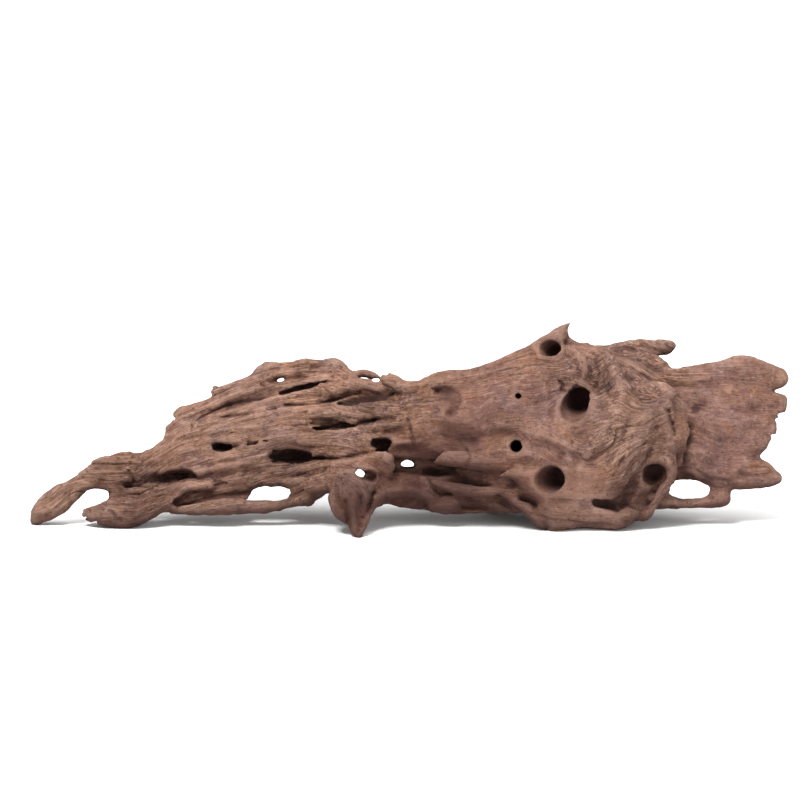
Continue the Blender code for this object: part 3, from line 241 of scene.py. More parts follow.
SLAB = {
    "crest": (1.2, 0.45, [
        (225, 161, 108, 5.5), (236, 167, 109, 8.5), (260, 167, 110, 8.5), (273, 169.5, 110, 9.6),
        (288, 169.5, 110, 9), (303, 170.5, 108, 9), (314, 164, 104, 6.5), (321, 159, 100, 4)]),
    "second step": (1.2, 0.45, [
        (186, 144.5, 100, 7), (200, 146.5, 101, 7.5), (215, 151, 103, 8), (230, 157, 105, 8.5),
        (240, 163, 106, 6)]),
    "bridge": (1.2, 0.45, [
        (238, 150.5, 101, 4), (262, 154.5, 102, 4.2), (285, 158, 101, 5), (305, 160, 98, 6),
        (322, 158, 94, 5)]),
    "third step": (1.3, 0.45, [
        (143, 119.5, 90, 2.5), (150, 123.5, 91, 6), (165, 127, 92, 6.5), (180, 132, 94, 7),
        (195, 139.5, 96, 7), (210, 145.5, 98, 7.5), (225, 149, 99, 6), (238, 151, 100, 5)]),
    "fourth band": (1.3, 0.45, [
        (141, 109, 82, 4.5), (155, 113, 84, 8), (175, 116, 86, 8.5), (195, 119, 88, 8.5),
        (215, 124, 90, 8.5), (235, 131, 92, 8.5), (260, 137, 93, 8.5), (285, 143, 93, 9),
        (305, 148, 91, 9), (325, 152, 88, 8), (345, 151, 82, 6.5), (356, 148, 76, 5)]),
    "fifth band": (1.3, 0.45, [
        (140, 99, 76, 7), (152, 104, 78, 9.5), (168, 107, 79, 10), (185, 108, 80, 10),
        (205, 111, 81, 10), (225, 116, 82, 10), (250, 120, 82, 10), (275, 124, 80, 9.5),
        (300, 126, 77, 9.5), (325, 126, 71, 9), (348, 127, 63, 8), (366, 124, 55, 6),
        (377, 121, 49, 3)]),
    "sixth band": (1.3, 0.45, [
        (124, 80, 70, 8.5), (137, 88, 72, 10.5), (154, 92, 73, 12), (168, 95, 73, 10),
        (180, 98, 73, 8), (200, 100, 74, 8), (225, 101, 73, 9.5), (250, 103, 71, 10),
        (275, 99, 67, 10), (300, 98, 63, 10), (322, 102, 58, 9), (345, 107, 51, 7.5),
        (364, 112, 46, 4.5)]),
    "seventh band": (1.2, 0.45, [
        (94, 74, 66, 10.5), (116, 76, 68, 9), (134, 79, 69, 9), (155, 80, 68, 10),
        (185, 80, 66, 8.5), (205, 82, 65, 8.5), (222, 84, 63, 8), (235, 85, 62, 6)]),
    "over the crack": (1.2, 0.4, [
        (284, 85, 60, 6), (300, 89, 57, 7), (320, 92, 53, 8.5), (340, 97, 49, 10), (362, 99, 46, 10),
        (382, 98, 46, 9)]),
    "eighth band": (1.2, 0.4, [
        (165, 57, 62, 7), (185, 60, 63, 8), (205, 62, 62, 8.5), (225, 64, 61, 8.5), (250, 65, 58, 9),
        (275, 67, 55, 9.5), (300, 70, 50, 9.5), (325, 77, 44, 8.5), (345, 82, 38, 6.5),
        (358, 80, 34, 5)]),
    "droop": (0.7, 0.0, [(338, 77, 40, 8), (350, 76, 36, 10), (357, 70, 34, 8), (356.5, 63, 34, 4.2)]),
    "over the window": (1.2, 0.2, [
        (205, 56, 60, 6), (225, 57.2, 58, 7.4), (245, 58.2, 55, 8), (262, 57, 51, 7.8),
        (278, 53, 46, 8), (292, 52, 40, 9)]),
    "beside the window": (1.0, 0.0, [
        (264, 56, 50, 6), (270, 47, 48, 6.5), (277, 41, 47, 6), (270, 38, 47, 4)]),
    "sill": (1.2, 0.0, [
        (138, 29, 46, 6), (160, 28.8, 45, 6.4), (180, 29.6, 44, 7.4), (195, 31, 44, 8.5),
        (208, 32, 45, 6.5), (217, 32, 46, 3)]),
    "lower sill": (1.2, 0.0, [
        (200, 29.5, 49, 6.4), (225, 30.2, 48, 6.1), (245, 31.2, 47, 5.8), (260, 35.6, 47, 5.8),
        (275, 37.5, 47, 7), (284, 42, 48, 6.2), (292, 47.5, 46, 6.5)]),
    "sunk band": (1.0, 0.3, [
        (140, 42, 60, 8), (165, 45, 62, 8.5), (190, 48, 63, 8.5), (212, 49, 61, 7), (222, 52, 59, 5)]),
    "behind the sill": (1.0, 0.0, [
        (138, 36, 58, 8), (160, 35, 60, 7.5), (185, 36.5, 60, 7.5), (203, 38, 59, 7),
        (214, 43, 58, 6)]),
    "behind the crest slot": (1.0, 0.3, [
        (186, 126, 104, 7), (215, 136, 110, 9), (245, 145, 114, 9.5), (275, 150, 114, 9.5),
        (300, 154, 110, 9), (318, 154, 104, 7)]),
    "lining": (0.36, 0.45, [
        (140, 82, 80, 14), (166, 92, 86, 24), (200, 96, 90, 34), (240, 102, 94, 40),
        (280, 106, 92, 42), (320, 108, 84, 42), (350, 110, 76, 36)]),
    "over the rough bed": (0.6, 0.45, [(262, 146, 92, 5), (285, 150, 91, 6), (310, 152, 88, 6)]),
    "floor of the rough bed": (0.8, 0.45, [
        (296, 140, 96, 7), (325, 141, 90, 9), (350, 143, 80, 9), (360, 146, 76, 7)]),
    "under the flute": (0.9, 0.45, [
        (160, 120, 88, 5), (176, 124, 90, 7), (195, 129, 92, 8), (214, 135, 93, 8.5),
        (238, 143, 96, 8), (252, 147, 98, 5)]),
    "under the step": (0.8, 0.3, [(206, 71, 57, 5), (224, 73, 56, 5), (239, 72, 54, 4)]),
    "beside the crest slot": (0.8, 0.4, [(262, 142, 94, 4), (282, 147, 93, 5), (306, 155, 91, 5)]),
}

UNDERSIDE = {
    "peg": (0.9, 0.3, [
        (329, 4.6, 1, 5.6), (328, 13, 4, 10), (325.6, 23.5, 10, 14), (320, 35, 16, 20),
        (323, 48, 24, 22), (330, 62, 32, 18)]),
    "peg side": (0.8, 0.0, [(333, 20, 14, 6), (338, 31, 22, 8), (346, 41, 32, 9)]),
    "shoulder": (1.0, 0.2, [(286, 52, 42, 9), (300, 56, 36, 12), (316, 61, 32, 14)]),
    "behind the gallery": (0.9, 0.0, [
        (340, 66, 62, 14), (362, 76, 66, 16), (388, 76, 68, 17), (420, 74, 70, 18),
        (455, 72, 68, 18), (485, 74, 66, 18), (510, 76, 62, 18)]),
    "keel": (0.9, 0.2, [
        (340, 50, 40, 16), (360, 49, 48, 17), (380, 46, 52, 18), (400, 43, 54, 17),
        (418, 38, 54, 15.5), (450, 40, 53, 15.5), (475, 38, 50, 15), (500, 40, 46, 16)]),
    "roll": (1.0, 0.0, [
        (345, 36, 34, 5), (358, 41, 33, 6.5), (375, 44, 34, 6.5), (390, 40, 36, 6), (400, 35, 40, 5)]),
    "boss": (1.0, 0.0, [(405, 31, 42, 7), (418, 34, 40, 10.5), (430, 39, 42, 8)]),
    "gallery end": (0.9, 0.0, [
        (434, 66, 50, 9), (450, 63, 46, 12), (470, 60, 42, 14), (490, 56, 40, 15)]),
    "behind the shelf": (0.9, 0.0, [
        (404, 56, 56, 9), (430, 56, 56, 10), (460, 55, 54, 10), (485, 52, 52, 10)]),
    "post": (0.9, 0.0, [(392, 64, 44, 4), (395, 54, 40, 5), (400, 44, 40, 6), (404, 34, 42, 7)]),
    "shelf": (0.9, 0.0, [
        (403, 55, 32, 2.6), (412, 52.5, 31, 4.5), (425, 49, 30, 5.5), (445, 45.5, 29, 6),
        (465, 45, 29, 6), (482, 43, 29, 7)]),
    "strap": (0.9, 0.0, [(476, 37, 27, 3), (485, 34, 26, 4.6), (498, 28, 27, 7), (510, 22, 30, 9)]),
    "rear heel": (0.8, 0.0, [
        (462, 31.5, 112, 8), (470, 42, 106, 13), (480, 58, 98, 19), (490, 80, 92, 24)]),
    "heel ridge": (0.8, 0.0, [
        (478, 40, 112, 6), (500, 46, 112, 8), (524, 56, 106, 12), (545, 74, 98, 18)]),
    "rear toe": (0.9, 0.0, [
        (598, 31.5, 111, 8.5), (594, 44, 106, 13), (588, 60, 96, 18), (578, 80, 90, 24)]),
}

NECK = {
    "nape": (1.0, 0.3, [
        (356.5, 158.5, 62, 7.4), (364, 156, 61, 7.6), (372, 151.5, 60, 7.8), (390, 148, 58, 9.5),
        (410, 153, 58, 13), (440, 154.5, 58, 14), (470, 161, 60, 16), (496, 170.5, 62, 18),
        (519, 185.5, 64, 15)]),
    "throat": (0.75, 0.3, [
        (366, 124, 62, 20), (392, 122, 58, 29), (420, 124, 55, 33), (450, 126, 54, 34),
        (480, 136, 55, 35), (510, 150, 58, 36)]),
    "jaw": (0.8, 0.2, [
        (374, 104, 52, 14), (400, 97, 48, 17), (430, 92, 46, 19), (460, 90, 45, 21),
        (490, 90, 42, 24), (520, 85, 38, 27)]),
    "first tongue": (0.8, 0.0, [
        (405.5, 75.5, 31, 2.8), (415, 78, 27, 7.4), (428, 78, 25, 8.6), (445, 76, 28, 9),
        (468, 74, 31, 10.5), (485, 73, 32, 12)]),
    "second tongue": (0.8, 0.0, [
        (470, 61, 20, 2), (479, 62.5, 20, 4.6), (492, 62, 21, 10), (508, 58, 24, 14)]),
    "back of the neck": (0.75, 0.0, [
        (362, 124, 84, 22), (400, 118, 88, 29), (440, 116, 92, 33), (480, 118, 96, 36),
        (510, 120, 98, 38)]),
    "arch": (1.0, 0.0, [
        (318, 156.5, 103, 4), (330, 163.5, 106, 4.4), (340, 162.4, 104, 4.4), (348, 157, 97, 4.2),
        (357, 150, 86, 6)]),
    "recess under the jaw": (0.8, 0.0, [(366, 86, 46, 8), (385, 85, 46, 9), (406, 83, 43, 8)]),
}

BURL = {
    "chin": (1.0, 0.0, [
        (512, 25, 34, 13.5), (523, 26, 35, 21.5), (545, 31, 37, 21), (568, 29, 35, 19.5),
        (586, 22, 30.5, 14), (600, 27, 32, 11.5)]),
    "cheek": (1.0, 0.2, [
        (503, 57, 36, 20), (525, 57, 33, 26), (555, 58, 33, 28), (585, 56, 35, 26), (604, 58, 38, 20)]),
    "brow": (0.9, 0.3, [
        (515, 112, 52, 36), (545, 112, 48, 42), (578, 112, 46, 42), (608, 106, 44, 36),
        (632, 100, 46, 26)]),
    "crown": (0.9, 0.3, [
        (520, 168, 64, 26), (545, 163, 66, 30), (572, 156, 66, 32), (602, 148, 66, 27),
        (630, 139, 66, 20), (652, 134, 66, 18)]),
    "horn": (0.9, 0.0, [
        (514, 185, 62, 14.5), (525, 196, 66, 10.5), (532, 205, 70, 6.5), (536, 210, 72, 3.5),
        (540, 213.5, 73, 1.2)]),
    "behind the horn": (1.0, 0.0, [(533, 199, 72, 6), (541, 190, 76, 8), (552, 183, 80, 12.6)]),
    "back finger": (0.9, 0.0, [
        (545, 183, 90, 11.5), (575, 181.5, 93, 10.5), (600, 187, 93, 10.5), (620, 188.5, 91, 9.5),
        (635, 189.5, 89, 8), (641, 190.8, 88, 5.5)]),
    "web": (0.8, 0.0, [(590, 170, 86, 14), (614, 169, 82, 14), (630, 163, 78, 12)]),
    "web edge": (0.8, 0.0, [(612, 180, 86, 9), (626, 175, 82, 7.5), (634, 166, 78, 7)]),
    "back of the burl": (0.8, 0.0, [
        (500, 100, 94, 34), (540, 104, 100, 41), (580, 104, 100, 41), (620, 100, 90, 32),
        (648, 96, 80, 20)]),
    "back of the cheek": (1.0, 0.0, [
        (510, 58, 72, 24), (550, 54, 76, 27), (590, 54, 72, 25), (612, 52, 60, 20)]),
    "back of the crown": (1.0, 0.0, [(515, 150, 94, 25), (560, 150, 100, 27), (600, 148, 96, 22)]),
    "fan": (1.0, 0.0, [
        (582, 54, 16, 5), (590, 62, 17, 9), (600, 78, 19, 11), (608, 98, 22, 12), (616, 118, 26, 11)]),
    "fan heel": (1.0, 0.0, [(589, 45, 19, 3.5), (594, 53, 18, 6), (604, 68, 19, 8)]),
    "fan shoulder": (1.0, 0.0, [
        (574, 60, 15, 6), (578, 74, 15, 10), (588, 96, 18, 13), (598, 118, 24, 12)]),
    "peak ridge": (1.0, 0.0, [
        (578.5, 180, 50, 3), (581, 173, 46, 6.5), (586, 160, 41, 9), (594, 142, 34, 10),
        (600, 122, 26, 11)]),
    "socket rim": (1.0, 0.0, [
        (609, 58, 27, 5), (612, 72, 22, 6), (624, 78, 19, 6), (636, 73, 21, 5.5), (640, 62, 25, 5),
        (636, 50, 29, 5)]),
    "nose": (1.0, 0.0, [
        (639, 62, 25, 5), (632, 46, 27, 5), (624, 34, 29, 4.8), (617, 24, 31, 6),
        (612, 19.5, 33, 4.6)]),
    "nose side": (1.0, 0.0, [(611, 50, 32, 6), (609, 37, 33, 7), (611, 27, 35, 6)]),
    "behind the nose": (1.0, 0.0, [(626, 66, 62, 17), (617, 50, 50, 16), (615, 38, 48, 12)]),
    "spur ridge": (1.0, 0.0, [
        (600, 146, 53, 5), (613, 150, 49, 6), (627, 148.5, 43, 7), (636, 145, 39, 7),
        (643, 135, 43, 7), (653, 124, 49, 7), (665, 116, 55, 6), (678, 109, 60, 5)]),
    "behind the crevice": (0.9, 0.0, [(634, 66, 48, 11), (640, 56, 50, 9), (636, 46, 48, 8)]),
    "flank": (1.0, 0.0, [
        (634, 142, 38, 8), (632, 124, 31, 10), (634, 105, 28, 11), (637, 86, 28, 10),
        (640, 70, 30, 8)]),
    "before the crevice": (0.8, 0.3, [
        (606, 140, 46, 12), (622, 134, 42, 13), (640, 122, 44, 12), (650, 106, 46, 10)]),
    "nose wall": (0.8, 0.0, [(646, 92, 44, 10), (648, 76, 44, 8)]),
}

BACK = {
    "long strand": (0.9, 0.0, [
        (160, 98, 100, 5), (200, 106, 106, 7.5), (260, 116, 112, 9), (320, 124, 113, 9),
        (380, 128, 116, 10), (440, 128, 128, 11), (500, 124, 138, 12), (560, 122, 144, 12),
        (610, 118, 130, 11), (650, 114, 98, 9), (700, 112, 78, 6)]),
    "low strand": (0.9, 0.0, [
        (350, 104, 102, 8), (400, 94, 114, 10), (450, 82, 120, 11), (500, 70, 116, 12),
        (550, 62, 110, 12), (600, 64, 98, 11), (645, 76, 78, 8)]),
    "high strand": (0.9, 0.0, [
        (400, 146, 94, 7), (450, 150, 106, 10), (510, 160, 118, 11), (560, 160, 128, 12),
        (600, 150, 122, 11), (640, 138, 100, 9), (690, 138, 82, 6)]),
    "slab strand": (0.9, 0.0, [
        (120, 74, 84, 6), (160, 78, 92, 7), (220, 82, 96, 8), (280, 84, 98, 9), (330, 92, 98, 9)]),
    "upper slab strand": (0.9, 0.0, [
        (190, 130, 108, 6), (240, 136, 118, 7.5), (290, 142, 120, 8), (330, 142, 112, 7)]),
    "crossing strand": (0.9, 0.0, [
        (470, 96, 128, 8), (510, 104, 138, 9), (548, 92, 134, 10), (590, 84, 120, 9),
        (620, 70, 100, 8)]),
}

PLATE = {
    "sheet": (0.15, 0.2, [(650, 108, 64, 60), (674, 112, 66, 59), (686, 114, 66, 55)]),
    "top plank": (0.6, 0.2, [
        (640, 153, 66, 15), (665, 158, 68, 14), (690, 162, 70, 14.5), (712, 167, 72, 15.5),
        (735, 161, 72, 14.5), (747, 158.8, 71, 11.4)]),
    "second plank": (0.55, 0.2, [
        (645, 138, 64, 16), (690, 139, 66, 17), (725, 137, 67, 15.5), (745, 131, 67, 12.5)]),
    "second plank tip": (0.6, 0.2, [(738, 136, 68, 7), (752.5, 138, 68, 4.8)]),
    "third plank": (0.55, 0.2, [
        (645, 114, 60, 18), (690, 114, 62, 18), (720, 113.5, 63, 17), (737, 108.5, 63, 11)]),
    "fourth plank": (0.55, 0.2, [
        (645, 92, 56, 16), (690, 92, 58, 17), (714, 94, 59, 15), (728, 96, 60, 11.5)]),
    "fifth plank": (0.6, 0.2, [
        (645, 74, 52, 13), (675, 71, 54, 14), (703, 65.6, 56, 18), (725, 63.4, 57, 16),
        (738, 60.5, 57, 11), (746.5, 58.4, 57, 6.4)]),
    "window post": (0.7, 0.1, [(688, 66, 55, 12), (690, 52, 54, 11), (690, 42, 53, 9.5)]),
    "window bar": (1.2, 0.0, [
        (618, 38, 46, 10), (640, 35, 50, 7), (658, 34, 52, 5.5), (676, 35, 53, 6.4),
        (691, 39, 53, 9.5)]),
}

# Each burrow is (depth share, knots), eaten from in front of the surface to the depth of its last knots.
BURROWS = {
    "first slot": (4.2, [
        (117, 54, 44, 3.6), (130, 57, 46, 5.6), (143, 60, 48, 5.8), (154, 62, 49, 4.6),
        (164, 61.5, 48, 3)]),
    "second slot": (4.0, [(185, 90, 62, 4.4), (192, 90, 64, 5), (199, 90.5, 64, 4.2)]),
    "third slot": (3.6, [
        (242, 80, 58, 4), (251, 80.5, 58, 5.6), (268, 80.5, 58, 6), (278, 80.5, 56, 5)]),
    "fourth slot": (3.6, [
        (283, 108, 66, 2.4), (298, 109.6, 62, 3.1), (315, 111, 58, 3), (328, 112.5, 52, 1.8)]),
    "fifth slot": (4.0, [(346, 94, 38, 5), (356, 94, 36, 5)]),
    "rough bed": (1.3, [
        (311, 133, 73, 5), (326, 137, 71, 7), (342, 140.5, 66, 7.5), (356, 142, 60, 6)]),
    "crest slot": (3.6, [
        (250, 144, 90, 3), (260, 146.5, 92, 3.3), (274, 150.2, 93, 2.4), (286, 153, 92, 1.7),
        (298, 156.5, 88, 1.1)]),
    "crest eye": (7.0, [(249, 156.8, 100, 2.7), (252, 157.8, 100, 2.7)]),
    "crest eye bed": (1.6, [(240, 154.5, 90, 2.6), (248, 157, 90, 3.8)]),
    "long flute": (1.0, [
        (181, 126.5, 80, 3), (198, 131, 82, 5), (218, 138, 84, 6.5), (236, 145, 88, 6.8),
        (250, 150, 92, 4.4)]),
    "lower window": (9.0, [
        (225.5, 41.3, 48, 4.6), (235, 42, 48, 5.7), (247, 42.4, 48, 6), (255, 42.6, 48, 5)]),
    "sunk bed": (1.7, [
        (148, 35.5, 42, 4.6), (165, 38.5, 44, 4.6), (185, 42, 46, 5), (205, 43, 48, 5),
        (220, 44, 48, 4.6)]),
    "peg eye": (12.0, [(329.6, 64.4, 30, 4.4), (331.6, 63.4, 30, 4.2)]),
    "peg eye bed": (2.2, [(334, 62, 16, 5), (343, 61, 18, 6.6)]),
    "neck eye": (12.0, [(372.8, 72.8, 50, 3), (377, 73.2, 50, 3.9), (382, 72.7, 50, 3.2)]),
    "dark gallery": (4.0, [
        (390, 66.5, 36, 5.2), (404, 65, 38, 6), (417, 64, 34, 5.4), (431, 63, 27, 4)]),
    "overhang": (1.6, [(371, 82, 24, 5), (384, 80, 24, 6), (400, 79, 22, 4)]),
    "hollow under the shelf": (3.0, [(434, 30, 34, 3.4), (444, 30.5, 34, 4.4), (456, 29, 34, 3.4)]),
    "arch eye": (9.0, [(345, 157.6, 90, 1.6), (347.5, 157.2, 90, 1.4)]),
    "left of the chin": (2.6, [
        (468, 40, 28, 3), (471, 36, 28, 4.6), (480, 29, 28, 4.6), (489, 25, 28, 3)]),
    "crown burrow": (1.0, [
        (512, 192, 30, 11), (517, 190.5, 46, 9.5), (523, 187.5, 58, 8), (526, 185, 68, 6)]),
    "brow burrow": (1.0, [
        (536, 124, -8, 14), (541, 129, 12, 14.5), (546, 135, 28, 13.5), (552, 138, 54, 12)]),
    "cheek burrow": (1.0, [
        (509, 55, -14, 13.5), (515, 57, 4, 14.5), (523, 58.5, 18, 12.5), (530, 60, 30, 9.5)]),
    "cheek dish": (0.45, [(538, 57, 0, 11), (552, 55, 2, 13), (565, 52, 4, 8)]),
    "nose burrow": (1.0, [
        (621, 58, -6, 11.5), (622.5, 61, 14, 12.4), (624, 63, 26, 11.4), (625, 65, 36, 9)]),
    "neck burrow": (1.0, [
        (483.5, 90, 0, 8.4), (485, 90.6, 18, 6.6), (487, 91, 40, 6), (488, 91, 62, 5.4)]),
    "small burrow": (1.0, [(488, 140.5, 8, 4.4), (488, 141, 30, 3), (489, 141, 52, 2.6)]),
    "ridge burrow": (1.0, [(561, 155, 16, 2), (563, 160, 34, 2.8), (566, 167, 34, 1.6)]),
    "chin slot": (2.6, [(564, 35, 14, 3.4), (571, 34, 16, 4.4), (580, 32, 16, 4.4), (586, 28, 16, 3)]),
    "nose hollow": (1.3, [
        (609, 62, 12, 4.4), (602, 52, 13, 7), (596, 42, 14, 8), (589, 34, 18, 6), (576, 35, 20, 4)]),
    "under the fan": (1.2, [(577, 46, 16, 3.5), (586, 39, 18, 5)]),
    "plate crevice": (2.4, [(646, 58.5, 46, 1.8), (653, 61, 47, 2.8), (661, 59, 48, 1.8)]),
    "plate window": (9.0, [
        (646, 47.8, 52, 7.2), (652, 47.8, 52, 9), (663, 47.4, 52, 9), (669, 46.8, 52, 7.4)]),
    "back burrow one": (1.0, [
        (528, 112, 170, 17), (532, 112, 144, 14), (538, 112, 122, 12), (548, 112, 98, 9)]),
    "back burrow two": (1.0, [(478, 108, 166, 12), (480, 108, 140, 10), (486, 106, 112, 8)]),
    "back burrow three": (1.0, [(606, 98, 156, 12), (604, 98, 130, 10.5), (600, 98, 104, 8)]),
    "back burrow four": (1.0, [(430, 112, 150, 11), (432, 112, 122, 9.5), (440, 113, 98, 7)]),
    "back burrow five": (1.0, [(384, 114, 140, 8), (384, 113, 114, 7), (386, 112, 92, 5)]),
    "back burrow six": (1.0, [(590, 134, 156, 9), (588, 134, 136, 8), (582, 134, 112, 6.5)]),
    "back burrow seven": (1.0, [(520, 86, 150, 10), (522, 86, 124, 9), (528, 88, 98, 7)]),
    "back burrow eight": (1.0, [(486, 140, 140, 8), (486, 139, 120, 7), (488, 136, 100, 5)]),
    "back slot": (1.8, [(400, 110, 118, 4), (420, 104, 122, 6), (450, 100, 126, 7), (468, 92, 126, 5)]),
    "slab back slot": (2.2, [
        (176, 92, 108, 4.5), (200, 95, 110, 6.5), (232, 99, 112, 6), (254, 102, 112, 4)]),
    "slab back flute": (1.8, [
        (262, 100, 116, 4.5), (290, 104, 118, 7), (322, 108, 114, 7), (350, 114, 110, 4.5)]),
    "slab upper flute": (1.8, [
        (206, 120, 116, 4), (236, 125, 120, 6), (276, 130, 124, 6.5), (316, 134, 120, 5)]),
    "plate back flute": (1.0, [(652, 96, 96, 6), (690, 94, 90, 7), (716, 98, 86, 4)]),
    "top burrow": (1.0, [(572, 198, 112, 9), (570, 184, 104, 8), (566, 166, 94, 7)]),
    "underside burrow": (1.0, [(556, 20, 74, 10), (552, 34, 70, 10), (546, 52, 64, 8)]),
    "underside slot": (1.4, [(420, 16, 70, 5), (440, 22, 72, 8), (462, 24, 74, 6)]),
}

# Each relief line is (rise, knots) with knots (along, up, half width). The rise is negative for a furrow.
FRONT_RELIEF = {
    "crescent scar": (-4.5, [
        (408, 145, 4), (417, 144, 6), (424, 138, 6.5), (425, 130, 6), (420, 124, 4)]),
    "shade below the scar": (-1.8, [(412, 112, 6), (416, 104, 9), (427, 99, 9), (442, 97, 8)]),
    "hollow above the tongue": (-2.5, [(374, 88, 6), (388, 84, 8), (402, 80, 7)]),
    "broad hollow of the brow": (-3.5, [(492, 138, 10), (506, 128, 16), (516, 120, 12)]),
    "left of the brow burrow": (2.4, [(512, 106, 7), (524, 118, 6), (530, 130, 5), (538, 141, 5)]),
    "flowing rib": (2.2, [(470, 112, 5), (490, 108, 6), (510, 100, 7), (535, 90, 7), (560, 76, 7)]),
    "second flowing rib": (1.8, [(480, 82, 5), (500, 84, 6), (524, 80, 7), (548, 72, 6)]),
    "furrow between the ribs": (-1.8, [(492, 96, 5), (515, 90, 6), (540, 80, 6)]),
    "first fan rib": (4.0, [(577, 53, 5), (586, 66, 6), (597, 86, 6), (606, 104, 6), (613, 120, 5)]),
    "second fan rib": (3.0, [(590, 58, 5), (602, 76, 6), (612, 96, 6), (620, 116, 5)]),
    "fan furrow": (-3.0, [(570, 70, 4), (580, 84, 5), (592, 102, 5), (602, 122, 5)]),
    "left fan rib": (3.0, [(556, 80, 5), (567, 96, 6), (578, 114, 6), (588, 134, 6), (592, 150, 5)]),
    "valley of the peak": (-4.5, [
        (566, 176, 5), (562, 164, 6), (563, 152, 6), (570, 138, 6), (576, 122, 6)]),
    "first finger scar": (-2.4, [(597, 160, 4), (606, 157, 6), (617, 158, 5)]),
    "second finger scar": (-1.6, [(602, 145, 4), (609, 142.5, 5)]),
    "valley behind the peak": (-2.0, [(588, 184, 5), (594, 172, 6), (600, 160, 6)]),
    "flank crack": (-2.6, [(637, 127, 2.5), (640, 115, 3), (643, 103, 2.5)]),
    "plate hollow": (-3.0, [(652, 100, 8), (650, 82, 8), (652, 66, 6)]),
    "plate furrow": (-1.5, [(668, 128, 5), (695, 126, 8), (722, 124, 6)]),
    "plate rib": (1.4, [(660, 142, 5), (690, 148, 6), (725, 150, 6)]),
    "slab step": (2.4, [(166, 64, 3), (190, 70, 4), (212, 74, 4), (236, 82, 4)]),
    "under the slab step": (-1.8, [(168, 57, 4), (192, 62, 5), (216, 66, 5), (238, 71, 4)]),
    "crack of the slab": (-3.0, [
        (286, 79, 1.8), (300, 78, 1.8), (318, 80, 1.8), (336, 84, 1.8), (352, 87, 1.8)]),
    "slot four crack": (-2.4, [(328, 113.5, 1.8), (344, 117, 1.8), (362, 119.5, 1.6)]),
    "fibre line one": (-1.4, [(255, 131, 2.5), (282, 132, 3), (302, 137, 3), (318, 144, 3)]),
    "fibre line two": (-2.0, [(205, 91, 2), (220, 97, 2.4), (236, 102, 2)]),
    "fibre line three": (-1.0, [(162, 117, 2), (185, 119, 2.4), (208, 124, 2)]),
    "fibre rib one": (2.4, [(215, 108, 4), (245, 112, 5), (275, 114, 4)]),
    "fibre line four": (-1.4, [(170, 109, 2.4), (205, 113, 3), (240, 120, 3), (275, 124, 2.6)]),
    "fibre line five": (-1.2, [(150, 98, 2.4), (175, 101, 3), (205, 105, 2.6)]),
    "fibre line six": (-1.4, [(300, 103, 2.4), (330, 104, 3), (356, 108, 2.6)]),
    "fibre line seven": (-1.4, [(190, 76, 2.4), (215, 80, 3), (232, 86, 2.6)]),
    "fibre line eight": (-2.2, [(250, 170, 3), (272, 171, 3), (298, 171, 3)]),
    "fibre line nine": (-2.2, [(240, 60, 3), (268, 62, 3), (300, 66, 3), (330, 72, 3)]),
    "fibre rib two": (1.8, [(150, 86, 4), (175, 88, 4), (178, 88, 3)]),
    "peg flute": (-5.0, [(316, 36, 2.6), (318, 24, 3), (321, 12, 2.6)]),
    "peg flute two": (-4.0, [(331, 40, 2.4), (331, 24, 2.6), (331, 12, 2.4)]),
    "peg rib": (2.6, [(324, 38, 3), (325, 20, 3.2), (327, 10, 2.6)]),
    "finger hollow": (-3.0, [(16, 36, 6), (28, 38, 7), (36, 44, 5)]),
    "thumb dent": (-2.0, [(84, 32, 4), (100, 34, 6), (118, 37, 5)]),
    "chin rib": (2.6, [(516, 34, 5), (526, 30, 7), (545, 30, 6)]),
    "chin side": (-3.0, [(505, 30, 4), (512, 20, 5), (516, 12, 4)]),
    "neck joint": (-2.6, [(362, 138, 4), (368, 132, 5), (375, 127, 3)]),
    "roll rib": (3.0, [(346, 40, 4), (358, 46, 4), (374, 49, 4), (390, 46, 4), (400, 39, 4)]),
    "under the roll": (-5.0, [(358, 36, 4), (376, 39, 6), (393, 35, 5)]),
    "dish of the cheek": (-6.0, [(536, 55, 9), (550, 53, 12), (563, 50, 9)]),
    "recess of the fifth slot": (-3.0, [(346, 102, 5), (360, 104, 6), (372, 104, 5)]),
    "edge of the end flap": (2.4, [(332, 131, 4), (352, 132, 4), (366, 127, 3.5), (376, 121.5, 3)]),
    "peg flute three": (-3.4, [(343, 44, 2.6), (339, 32, 2.6), (334, 20, 2.2)]),
    "peg hip": (-3.0, [(306, 50, 3), (309, 40, 3), (312, 30, 2.6)]),
}

BACK_RELIEF = {
    "back rib one": (4.0, [(380, 140, 7), (430, 134, 9), (480, 140, 10), (530, 150, 8)]),
    "back furrow one": (-5.0, [(380, 120, 6), (430, 112, 9), (480, 118, 9), (530, 126, 7)]),
    "back rib two": (4.0, [(400, 98, 7), (450, 100, 8), (510, 104, 10), (580, 112, 9), (640, 110, 7)]),
    "back furrow two": (-5.0, [(520, 76, 7), (560, 86, 9), (610, 92, 8)]),
    "back furrow three": (-4.5, [(540, 140, 7), (580, 134, 9), (620, 128, 8)]),
    "slab back rib": (3.0, [(170, 100, 6), (230, 112, 8), (300, 122, 8)]),
    "slab back furrow": (-4.0, [(190, 128, 5), (240, 134, 7), (300, 142, 6)]),
    "plate back rib": (2.4, [(650, 120, 7), (700, 122, 8), (740, 124, 6)]),
    "plate back furrow": (-3.0, [(660, 96, 6), (700, 100, 8), (730, 100, 5)]),
}

